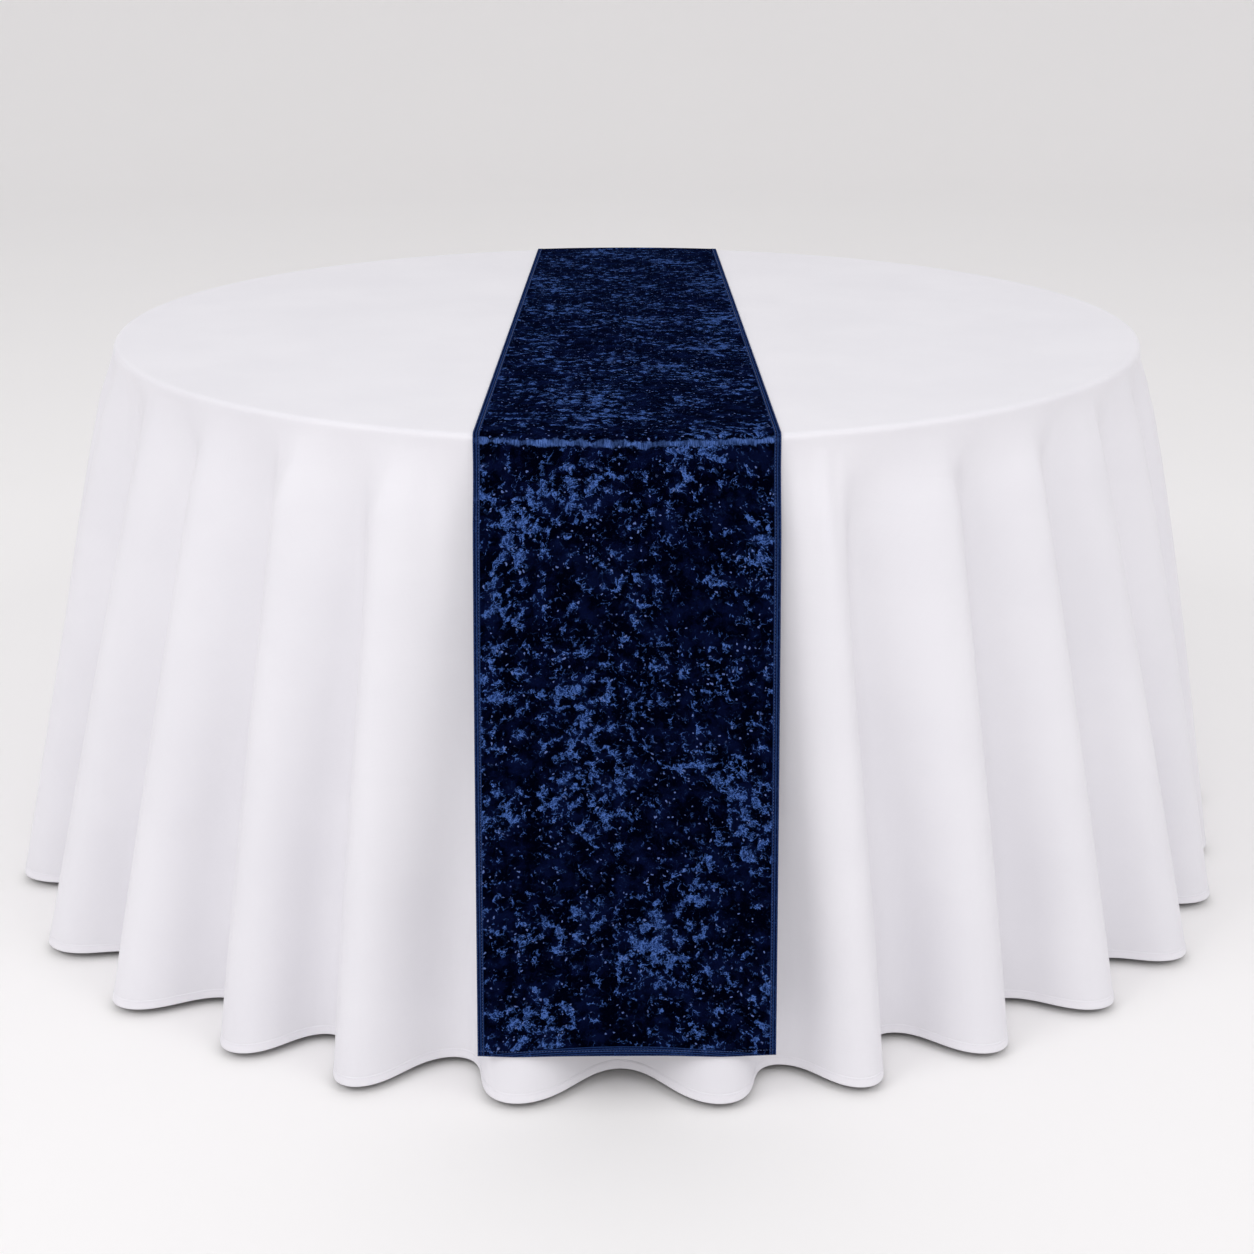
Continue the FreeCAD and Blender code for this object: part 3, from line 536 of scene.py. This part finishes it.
    # the border, pressed flat and ribbed beside its stitches, narrower at the ends than at the sides
    rib_pitch, end_narrowing = 0.0034, 1.3
    border_dark, border_light = (0.002, 0.005, 0.026, 1), (0.017, 0.040, 0.135, 1)
    from_side = nodes.math("SUBTRACT", half_width, nodes.math("ABSOLUTE", x))
    from_end = nodes.math("MULTIPLY", nodes.math("SUBTRACT", half_length, along), end_narrowing)
    inside = nodes.math("MINIMUM", from_side, from_end)
    border = nodes.between(inside, 0.0086, 0.0074)
    rows = nodes.math("SINE", nodes.math("MULTIPLY", inside, 2 * math.pi / rib_pitch))
    rows = nodes.math("ADD", nodes.noise(flat, 520.0, 2.0), nodes.math("MULTIPLY", rows, 0.28))
    border_colour = nodes.mix(nodes.between(rows, 0.3, 0.8), border_dark, border_light)
    colour = nodes.mix(nodes.math("MULTIPLY", border, 0.85), colour, border_colour)
    nodes.colour(colour)

    nodes.roughness(nodes.math("SUBTRACT", 0.85, nodes.math("MULTIPLY", patch, 0.30)))
    pile = nodes.noise(flat, 1500.0, 2.0)
    height = nodes.math("ADD", nodes.math("MULTIPLY", patch, 0.5), nodes.math("MULTIPLY", pile, 0.5))
    nodes.bump(nodes.math("ADD", height, nodes.math("MULTIPLY", twig, 0.3)), 0.0005, 0.6)
    return nodes.material


def thread_material(name, light, shade):
    """Sewing thread: a twist of light and shade along each stitch."""
    nodes = Nodes(name, Sheen_Weight=0.2, Sheen_Roughness=0.4, Specular_IOR_Level=0.3)
    twist = nodes.noise(nodes.place(2500, 2500, 2500), 1.0, 2.0)
    nodes.colour(nodes.mix(nodes.between(twist, 0.4, 0.6), light, shade))
    nodes.roughness(nodes.math("ADD", 0.55, nodes.math("MULTIPLY", twist, 0.2)))
    nodes.bump(twist, 0.0001, 0.6)
    return nodes.material


def plywood():
    """Birch plywood: long grain and pores on the faces, dark and light plies on the edge."""
    nodes = Nodes("plywood_birch", Specular_IOR_Level=0.35, Coat_Weight=0.15, Coat_Roughness=0.35)
    grain = nodes.noise(nodes.place(3, 55, 3), 1.0, 6.0, 0.6)
    pores = nodes.noise(nodes.place(25, 900, 25), 1.0, 3.0, 0.6)
    figure = nodes.noise(nodes.place(0.9, 5, 1), 1.0, 3.0)
    face = nodes.mix(nodes.between(grain, 0.35, 0.68), (0.60, 0.43, 0.26, 1), (0.44, 0.28, 0.15, 1))
    face = nodes.mix(nodes.between(figure, 0.45, 0.75), face, (0.52, 0.36, 0.20, 1))
    _, _, z = nodes.split(nodes.place())
    ply_pitch = 0.0029
    ply = nodes.math("SINE", nodes.math("MULTIPLY", z, 2 * math.pi / ply_pitch))
    edge = nodes.mix(nodes.between(ply, -0.3, 0.3), (0.50, 0.34, 0.20, 1), (0.30, 0.18, 0.10, 1))
    facing = nodes.math("ABSOLUTE", nodes.split(nodes.add("NewGeometry").outputs["Normal"])[2])
    nodes.colour(nodes.mix(nodes.between(facing, 0.4, 0.6), edge, face))
    nodes.roughness(nodes.math("ADD", 0.45, nodes.math("MULTIPLY", grain, 0.25)))
    nodes.bump(nodes.math("ADD", pores, nodes.math("MULTIPLY", grain, 0.5)), 0.0004, 0.5)
    return nodes.material


def edge_vinyl():
    """Brown vinyl T-moulding: fine pebble grain with rubbed, lighter scuffs."""
    nodes = Nodes("edge_vinyl_brown", Specular_IOR_Level=0.5)
    pebble = nodes.cells(nodes.place(), 900.0)
    scuff = nodes.noise(nodes.place(9, 9, 120), 1.0, 4.0, 0.6)
    brown, rubbed = (0.060, 0.030, 0.017, 1), (0.13, 0.075, 0.045, 1)
    nodes.colour(nodes.mix(nodes.between(scuff, 0.58, 0.72), brown, rubbed))
    nodes.roughness(nodes.math("ADD", 0.32, nodes.math("MULTIPLY", scuff, 0.3)))
    nodes.bump(pebble, 0.0002, 0.4)
    return nodes.material


def powder_coat():
    """Grey powder-coated steel: orange-peel surface, dust and small chips."""
    nodes = Nodes("powder_coat_grey", Specular_IOR_Level=0.5)
    peel = nodes.noise(nodes.place(), 650.0, 2.0, 0.5)
    dust = nodes.noise(nodes.place(), 14.0, 4.0, 0.6)
    chips = nodes.between(nodes.noise(nodes.place(), 160.0, 4.0, 0.65), 0.71, 0.73)
    paint = nodes.mix(nodes.between(dust, 0.40, 0.70), (0.135, 0.140, 0.148, 1), (0.190, 0.192, 0.196, 1))
    nodes.colour(nodes.mix(chips, paint, (0.32, 0.30, 0.28, 1)))
    nodes.roughness(nodes.math("ADD", 0.38, nodes.math("MULTIPLY", dust, 0.25)))
    nodes.bump(peel, 0.0003, 0.5)
    return nodes.material


def zinc_steel():
    """Zinc-plated pressings, pins and screws: bluish spangle, drawn lines and dull handling marks."""
    nodes = Nodes("zinc_plated_steel", Metallic=1.0)
    spangle = nodes.cells(nodes.place(), 260.0, output="Color")
    tone = nodes.split(spangle)[0]
    drawn = nodes.noise(nodes.place(120, 1500, 1500), 1.0, 3.0)
    marks = nodes.noise(nodes.place(), 45.0, 4.0, 0.6)
    plate = nodes.mix(tone, (0.56, 0.58, 0.61, 1), (0.68, 0.70, 0.71, 1))
    nodes.colour(nodes.mix(nodes.between(marks, 0.55, 0.75), plate, (0.46, 0.45, 0.43, 1)))
    nodes.roughness(nodes.math("ADD", 0.24, nodes.math("MULTIPLY", marks, 0.30)))
    nodes.bump(drawn, 0.0001, 0.4)
    return nodes.material


def foot_rubber():
    """Black rubber feet: matt, slightly dusty, with a moulded grain."""
    nodes = Nodes("foot_rubber_black", Specular_IOR_Level=0.3)
    dust = nodes.noise(nodes.place(), 60.0, 4.0, 0.6)
    grain = nodes.noise(nodes.place(), 1200.0, 2.0)
    black, dusty = (0.012, 0.012, 0.012, 1), (0.055, 0.052, 0.048, 1)
    nodes.colour(nodes.mix(nodes.between(dust, 0.5, 0.8), black, dusty))
    nodes.roughness(nodes.math("ADD", 0.68, nodes.math("MULTIPLY", dust, 0.2)))
    nodes.bump(grain, 0.0003, 0.5)
    return nodes.material


def studio_white():
    """The plain pale floor and backdrop."""
    nodes = Nodes("studio_floor", Specular_IOR_Level=0.1)
    mottle = nodes.noise(nodes.place(), 1.5, 2.0)
    nodes.colour(nodes.mix(mottle, (0.895, 0.882, 0.880, 1), (0.905, 0.892, 0.890, 1)))
    nodes.roughness(nodes.math("ADD", 0.85, nodes.math("MULTIPLY", mottle, 0.05)))
    return nodes.material


# ---------------------------------------------------------------- tablecloth


PANEL_RINGS = (0.20, 0.45, 0.65, RIM_RADIUS - 0.012)     # radii of the rings on the flat of the table
PANEL_END = 0.004                 # the panel ends this far above the hem's edge, inside the hem's fold
HANGING_ROWS = 36
LAST_ROWS = (0.9935, 1.0)         # close together, so that the shading of the end stays inside the hem


def turn_rows():
    """Ways of the rows that go over the rim, close together in the turn and wider below it."""
    return np.append(np.arange(-5, 5) * FINE_STEP, (0.009, 0.013, 0.019))


def make_cloth_panel(material):
    """The white cloth: a thin closed shell, flat on the table, over the rim and down into its hem."""
    top_rings = np.array(PANEL_RINGS) - RIM_RADIUS
    turn = turn_rows()
    hang = np.append(np.linspace(0.0, 0.990, HANGING_ROWS)[1:], LAST_ROWS)[:, None]
    hang = turn[-1] + (shape["hem"][None, :] - PANEL_END - turn[-1]) * hang
    turn = turn[:, None] + np.zeros((1, COLUMNS))
    outer_rows = np.concatenate([turn, hang])
    inner_rows = np.concatenate([turn[::2], hang[::2]])
    direction = np.stack([np.sin(shape["azimuth"]), -np.cos(shape["azimuth"])], 1)

    def side(rows, offset):
        points, normals, flat = read_cloth(rows)
        points = points + normals * offset
        rings = (RIM_RADIUS + top_rings)[:, None, None] * direction[None]
        level = np.full((len(top_rings), COLUMNS, 1), CLOTH_TOP + offset)
        top = np.concatenate([rings, level], 2)
        return np.concatenate([top, points]), np.concatenate([rings, flat])

    outer, outer_flat = side(outer_rows, CLOTH_HALF_THICK)
    inner, inner_flat = side(inner_rows, -CLOTH_HALF_THICK)
    points = np.concatenate([outer, inner[::-1]]).reshape(-1, 3)
    flat = np.concatenate([outer_flat, inner_flat[::-1]]).reshape(-1, 2)
    rows = len(outer) + len(inner)
    faces = band_faces(rows, COLUMNS)
    centre_out, centre_in = len(points), len(points) + 1
    for column in range(COLUMNS):
        right = (column + 1) % COLUMNS
        last = (rows - 1) * COLUMNS
        faces.append((centre_out, column, right))
        faces.append((centre_in, last + right, last + column))
    centres = [[0, 0, CLOTH_TOP + CLOTH_HALF_THICK], [0, 0, CLOTH_TOP - CLOTH_HALF_THICK]]
    points = np.concatenate([points, centres])
    flat = np.concatenate([flat, np.zeros((2, 2))])
    return make_piece("tablecloth", points, faces, material, flat)


# the hem's section: height above its edge in metres, and the share of HEM_HALF_THICK there
HEM_SECTION = (
    (HEM_DEPTH, 0.38),
    (HEM_DEPTH - 0.0012, 0.50),
    (0.0092, 0.64),
    (0.0065, 0.72),
    (0.0035, 0.76),
    (0.0015, 0.76),
    (0.0005, 0.60),
    (0.0, 0.0),
)
PUCKER = 0.22                     # share by which the stitches draw the hem thinner and thicker
PUCKER_WAVES = (610.0, 137.0)     # round the whole hem


def make_cloth_hem(material):
    """The double-turned hem: a thicker fold round the bottom edge that wraps the panel."""
    up, share = np.array(HEM_SECTION).T
    half = HEM_HALF_THICK * share
    points, normals, flat = read_cloth(shape["hem"][None, :] - up[:, None])
    quick, slow = (np.sin(shape["azimuth"] * waves) for waves in PUCKER_WAVES)
    pucker = 1.0 + PUCKER * quick * slow
    reach = half[:, None, None] * pucker[None, :, None]
    outer = points + normals * reach
    inner = (points - normals * reach)[-2::-1]
    ring = np.concatenate([outer, inner])
    ring_flat = np.concatenate([flat, flat[-2::-1]])
    faces = band_faces(len(ring), COLUMNS)
    last = (len(ring) - 1) * COLUMNS
    for column in range(COLUMNS):
        right = (column + 1) % COLUMNS
        faces.append((column, right, last + right, last + column))
    return make_piece("tablecloth_hem_band", ring, faces, material, ring_flat)


def make_stitches(name, lines, material, pitch=0.0032, length=0.0024, radius=0.00032):
    """Rows of small rounded stitches along lines; a line is (points, normals, closed)."""
    sides, shoulder = 6, 0.32
    turn = np.linspace(0, 2 * np.pi, sides, endpoint=False)
    points, faces = [], []
    for path, normals, closed in lines:
        if closed:
            path, normals = np.concatenate([path, path[:1]]), np.concatenate([normals, normals[:1]])
        reach = np.concatenate([[0.0], np.cumsum(np.linalg.norm(np.diff(path, axis=0), axis=1))])
        places = np.arange(pitch * 0.5, reach[-1] - pitch * 0.4, pitch)
        centre = np.stack([np.interp(places, reach, path[:, i]) for i in range(3)], 1)
        ahead = np.stack([np.interp(places + pitch * 0.3, reach, path[:, i]) for i in range(3)], 1)
        behind = np.stack([np.interp(places - pitch * 0.3, reach, path[:, i]) for i in range(3)], 1)
        up = np.stack([np.interp(places, reach, normals[:, i]) for i in range(3)], 1)
        along = ahead - behind
        along /= np.linalg.norm(along, axis=1, keepdims=True)
        side = np.cross(along, up)
        side /= np.linalg.norm(side, axis=1, keepdims=True)
        up = np.cross(side, along)
        for c, a, n, b in zip(centre, along, up, side):
            first = len(points)
            points.append(c - a * length / 2)
            for share in (-shoulder, shoulder):
                for angle in turn:
                    outwards = n * math.cos(angle) + b * math.sin(angle)
                    points.append(c + a * length * share + radius * outwards)
            points.append(c + a * length / 2)
            near, far, tip = first + 1, first + 1 + sides, first + 1 + 2 * sides
            for k in range(sides):
                m = (k + 1) % sides
                faces.append((first, near + m, near + k))
                faces.append((near + k, near + m, far + m, far + k))
                faces.append((tip, far + k, far + m))
    return make_piece(name, np.array(points), faces, material)


# ---------------------------------------------------------------- runner

RUNNER_LIFT = 0.0018              # middle of the runner above the middle of the cloth, on the table
RUNNER_STAND_OFF = 0.0030         # in front of the folds it hangs against
RUNNER_RIM_GAP = 0.0018           # at the rim, where the folds are still flat
RUNNER_RIPPLE = 0.0010            # gentle waves across and down the hanging ends
RUNNER_END_RAISED = 0.003         # middle of each end above its CAD solid's
RUNNER_END_BOW = 0.0055           # corners below the middle, so that the end looks straight from the front
RUNNER_COLUMNS = 31
RUNNER_HANGING_ROWS = 64
RUNNER_TOP_ROWS = 29
# distances in from an edge of the rows of points that shape its hem
HEM_STEPS = np.array([0.0, 0.0008, 0.0030, 0.0065, RUNNER_HEM - 0.0006, RUNNER_HEM + 0.0006])
STITCHED_STEPS = (1, 3)           # the two of HEM_STEPS that carry stitches
SUPPORT_REACH = 0.42              # the folds this far to each side of the middle can hold the runner
SUPPORT_STEP = 0.0025
SUPPORT_BLUR = 0.018
SUPPORT_BLUR_STEPS = 24


def support_line(row, side):
    """How far out a taut sheet against the folds reaches, at places across one fine row of the cloth."""
    points = shape["points"][row]
    mine = (side * points[:, 1] > 0) & (np.abs(points[:, 0]) < SUPPORT_REACH)
    x, out = points[mine, 0], side * points[mine, 1]
    order = np.argsort(x)
    hull = []
    for p in zip(x[order], out[order]):
        while len(hull) > 1:
            (ax, ay), (bx, by) = hull[-2], hull[-1]
            if (bx - ax) * (p[1] - ay) - (by - ay) * (p[0] - ax) < 0:
                break
            hull.pop()
        hull.append(p)
    hull = np.array(hull)
    across = np.arange(-0.300, 0.3001, SUPPORT_STEP)
    line = np.interp(across, hull[:, 0], hull[:, 1])
    beside = np.arange(-SUPPORT_BLUR_STEPS, SUPPORT_BLUR_STEPS + 1) * SUPPORT_STEP
    kernel = np.exp(-0.5 * (beside / SUPPORT_BLUR) ** 2)
    kernel /= kernel.sum()
    padded = np.pad(line, SUPPORT_BLUR_STEPS, mode="reflect", reflect_type="odd")
    soft = np.convolve(padded, kernel, mode="valid")
    return across, np.maximum(soft, line - 0.0010)


def runner_end(side):
    """One half of the runner's middle surface, from the table's centre to its end, as rows of points."""
    left = -RUNNER_HALF_WIDTH + HEM_STEPS
    inner = np.linspace(left[-1], -left[-1], RUNNER_COLUMNS)[1:-1]
    across = np.concatenate([left, inner, -left[::-1]])
    radius = RIM_RADIUS + RUNNER_LIFT
    rim = np.sqrt(radius**2 - across**2)

    # the line that it hangs on, worked out at some drops and read between them
    fine, coarse, steepest_inwards = 0.001, 0.015, -0.95
    drop = np.arange(0.0, CLOTH_DROP, fine)
    known = np.arange(0.0, CLOTH_DROP, coarse)
    lines = []
    for s in known:
        row = int(round((s + BEND) / FINE_STEP))
        places, line = support_line(min(row, len(shape["way"]) - 1), side)
        lines.append(np.interp(across, places, line))
    lines = np.array(lines)
    outline = np.stack([np.interp(drop, known, lines[:, i]) for i in range(len(across))], 1)
    gap = outline + RUNNER_STAND_OFF - rim[None, :]
    gap = gap * smooth(drop, 0.0, 0.028)[:, None]
    gap = gap + RUNNER_RIM_GAP * smooth(drop, 0.0, 0.012)[:, None]
    ripple = np.sin(across[None, :] * 27.0 + side) * np.sin(drop[:, None] * 6.0 + 1.0)
    gap = gap + RUNNER_RIPPLE * ripple * smooth(drop, 0.08, 0.3)[:, None]

    before = int(round(BEND / fine))
    slope = np.gradient(gap, fine, axis=0)
    slope = np.concatenate([np.repeat(slope[:1], before, 0), slope])
    way = np.concatenate([-fine * np.arange(before, 0, -1), drop])
    weight = smooth(way, -BEND, BEND)[:, None]
    slope = np.clip((1 - weight) + weight * slope, steepest_inwards, 1.0)
    fall = np.sqrt(1 - slope**2)
    top = CLOTH_TOP + RUNNER_LIFT
    out = (rim - BEND)[None, :] + running_sum((slope[1:] + slope[:-1]) * fine / 2)
    height = top - running_sum((fall[1:] + fall[:-1]) * fine / 2)

    bow = RUNNER_END_BOW * (across / RUNNER_HALF_WIDTH) ** 2
    end_height = RUNNER_END_HEIGHT + RUNNER_END_RAISED - bow
    end_way = np.array([np.interp(-end_height[i], -height[:, i], way) for i in range(len(across))])
    turn = np.arange(-BEND, BEND + 0.0001, FINE_STEP)
    rows, coordinates = [], []
    for f in np.linspace(0.0, 1.0, RUNNER_TOP_ROWS)[:-1]:
        rows.append(np.stack([across, (rim - BEND) * f, np.full_like(across, top)], 1))
        coordinates.append((rim - BEND) * f)
    hanging = [np.full_like(across, turn_way) for turn_way in turn]
    for f in np.linspace(0.0, 1.0, RUNNER_HANGING_ROWS)[1:]:
        hanging.append(BEND + (end_way - HEM_STEPS[-1] - BEND) * f)
    hanging += [end_way - up for up in HEM_STEPS[-2::-1]]
    for places in hanging:
        o = np.array([np.interp(places[i], way, out[:, i]) for i in range(len(across))])
        h = np.array([np.interp(places[i], way, height[:, i]) for i in range(len(across))])
        rows.append(np.stack([across, o, h], 1))
        coordinates.append(rim + places)
    rows, coordinates = np.array(rows), np.array(coordinates)
    rows[:, :, 1] *= side
    return across, rows, side * coordinates, float(np.mean(rim + end_way))


def make_runner():
    """The runner as a thin closed shell with thicker hems, its stitches, and the length it was cut to."""
    across, front, front_flat, front_length = runner_end(-1)
    _, back, back_flat, back_length = runner_end(1)
    points = np.concatenate([front[::-1], back[1:]])
    along = np.concatenate([front_flat[::-1], back_flat[1:]])
    rows, columns = along.shape
    flat = np.stack([np.broadcast_to(across, along.shape), along], 2)
    normals = -grid_normals(points, False)
    if normals[rows // 2, columns // 2, 2] < 0:
        normals = -normals
    ends = np.stack([along - along[:1], along[-1:] - along]).min(0)
    sides = RUNNER_HALF_WIDTH - np.abs(across)[None, :]
    inside = np.minimum(ends, sides)
    in_hem = 1 - smooth(inside, RUNNER_HEM - 0.0007, RUNNER_HEM + 0.0007)
    half = RUNNER_HALF_THICK + (RUNNER_HEM_HALF_THICK - RUNNER_HALF_THICK) * in_hem
    half = half * (0.45 + 0.55 * smooth(inside, -0.0004, 0.0010))
    outer = points + normals * half[:, :, None]
    inner = points - normals * half[:, :, None]
    size = rows * columns
    index = np.arange(size).reshape(rows, columns)
    quads = np.stack([index[:-1, :-1], index[:-1, 1:], index[1:, 1:], index[1:, :-1]], 2).reshape(-1, 4)
    faces = quads.tolist() + (size + quads[:, ::-1]).tolist()
    rim = np.concatenate([index[0, :-1], index[:-1, -1], index[-1, :0:-1], index[:0:-1, 0]])
    following = np.roll(rim, -1)
    faces += np.stack([following, rim, size + rim, size + following], 1).tolist()
    material = velvet("velvet_navy_crushed", RUNNER_HALF_WIDTH, RIM_RADIUS + RUNNER_LIFT, front_length)
    points = np.concatenate([outer.reshape(-1, 3), inner.reshape(-1, 3)])
    uv = np.concatenate([flat.reshape(-1, 2)] * 2)
    piece = make_piece("runner", points, faces, material, uv)
    thread = thread_material("thread_blue", (0.038, 0.074, 0.21, 1), (0.013, 0.026, 0.09, 1))
    stitch_out = 0.0001
    surface = outer + normals * stitch_out
    lines = []
    for inset_index in STITCHED_STEPS:
        for column in (inset_index, columns - 1 - inset_index):
            lines.append((surface[:, column], normals[:, column], False))
        for row in (inset_index, rows - 1 - inset_index):
            lines.append((surface[row], normals[row], False))
    stitches = make_stitches("runner_stitches", lines, thread, pitch=0.0036, length=0.0026, radius=0.0003)
    return piece, stitches, front_length + back_length


# ---------------------------------------------------------------- build the pieces

white = white_cloth("cloth_white")
white_hem = white_cloth("cloth_white_hem", 1.035)
tablecloth = make_cloth_panel(white)
hem_band = make_cloth_hem(white_hem)
HEM_STITCH_HEIGHT = 0.0100        # above the hem's edge
HEM_STITCH_OUT = HEM_HALF_THICK * 0.80
stitch_points, stitch_normals, _ = read_cloth(shape["hem"][None, :] - HEM_STITCH_HEIGHT)
stitch_path = stitch_points[0] + stitch_normals[0] * HEM_STITCH_OUT
stitch_line = (stitch_path, stitch_normals[0], True)
white_thread = thread_material("thread_white", (0.80, 0.79, 0.83, 1), (0.72, 0.71, 0.75, 1))
cloth_stitches = make_stitches("tablecloth_hem_stitches", [stitch_line], white_thread, radius=0.00020)
runner, runner_stitches, RUNNER_LENGTH = make_runner()

for piece in (tablecloth, hem_band, cloth_stitches):
    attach(piece, "tablecloth")
for piece in (runner, runner_stitches):
    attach(piece, "runner")
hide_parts("tablecloth_panel")
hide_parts("tablecloth_hem")
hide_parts("runner_velvet_panel", "runner_side_hem_left", "runner_side_hem_right",
            "runner_end_hem_front", "runner_end_hem_back")

# ---------------------------------------------------------------- the table under the cloth

FINISHES = {
    "plywood": (plywood(), ("table_top", "block")),
    "vinyl": (edge_vinyl(), ("edge_band",)),
    "rubber": (foot_rubber(), ("foot",)),
    "paint": (powder_coat(), ("leg_frame", "stretcher")),
    "zinc": (zinc_steel(), ("saddle", "clevis", "pin", "screws", "stay")),
}
for name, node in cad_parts.items():
    for material, words in FINISHES.values():
        if any(word in name for word in words) and not any(word in name for word in ("cloth", "runner")):
            node.data.materials.clear()
            node.data.materials.append(material)
            break

# ---------------------------------------------------------------- floor, light and camera


def make_floor():
    """A pale round studio floor that curves up into a wall on every side, well outside the views."""
    flat_radius, curve, wall = 9.0, 4.0, 3.0
    profile = [(0.0, 0.0), (3.0, 0.0), (6.0, 0.0), (flat_radius, 0.0)]
    curve_steps = 12
    for step in range(1, curve_steps + 1):
        angle = math.pi / 2 * step / curve_steps
        profile.append((flat_radius + curve * math.sin(angle), curve * (1 - math.cos(angle))))
    profile.append((flat_radius + curve, curve + wall))
    sides = 96
    turn = np.linspace(0, 2 * np.pi, sides, endpoint=False)
    rows = [[(r * math.cos(a), r * math.sin(a), z) for a in turn] for r, z in profile[1:]]
    points = np.array(rows).reshape(-1, 3)
    faces = band_faces(len(rows), len(turn))
    centre = len(points)
    faces += [(centre, k, (k + 1) % len(turn)) for k in range(len(turn))]
    return make_piece("studio_floor", np.concatenate([points, [[0, 0, 0]]]), faces, studio_white())


def add_area_light(name, place, aim, width, depth, power):
    """A soft rectangular lamp at place, turned to face aim."""
    data = bpy.data.lights.new(name, "AREA")
    data.shape = "RECTANGLE"
    data.size, data.size_y, data.energy = width, depth, power
    light = bpy.data.objects.new(name, data)
    bpy.context.scene.collection.objects.link(light)
    light.location = place
    light.rotation_euler = (Vector(aim) - Vector(place)).to_track_quat("-Z", "Y").to_euler()


def add_world(colour, strength):
    """The even light of a studio with pale walls."""
    world = bpy.data.worlds.new("studio_air")
    world.use_nodes = True
    background = world.node_tree.nodes["Background"]
    background.inputs["Color"].default_value = colour
    background.inputs["Strength"].default_value = strength
    bpy.context.scene.world = world


def add_camera(place, down_degrees, lens):
    """The scene's camera at place, looking along +Y and down by down_degrees."""
    data = bpy.data.cameras.new("camera")
    data.lens, data.sensor_width = lens, 36.0
    camera = bpy.data.objects.new("camera", data)
    bpy.context.scene.collection.objects.link(camera)
    camera.location = place
    camera.rotation_euler = (math.radians(90.0 - down_degrees), 0.0, 0.0)
    bpy.context.scene.camera = camera


LIT_POINT = (0.0, 0.0, 0.5)       # all the lamps are turned to the middle of the table
# each lamp: name, place, width, depth and watts
LAMPS = (
    ("left_box", (-4.4, -3.2, 5.2), 2.6, 2.0, 72.0),
    ("right_box", (4.4, -3.2, 5.2), 2.6, 2.0, 52.0),
    ("low_front", (-0.6, -6.5, 1.9), 5.0, 3.0, 8.0),
    ("high_front", (-0.4, -4.4, 4.4), 2.6, 1.8, 46.0),
)
AIR_COLOUR = (0.992, 0.988, 1.0, 1.0)
AIR_STRENGTH = 0.81
CAMERA_PLACE = (0.0, -2.588, 1.224)
CAMERA_DOWN = 20.65               # degrees
CAMERA_LENS = 47.77               # millimetres, on a 36 mm sensor

make_floor()
add_world(AIR_COLOUR, AIR_STRENGTH)
for name, place, width, depth, power in LAMPS:
    add_area_light(name, place, LIT_POINT, width, depth, power)
add_camera(CAMERA_PLACE, CAMERA_DOWN, CAMERA_LENS)
bpy.context.scene.view_settings.view_transform = "Standard"
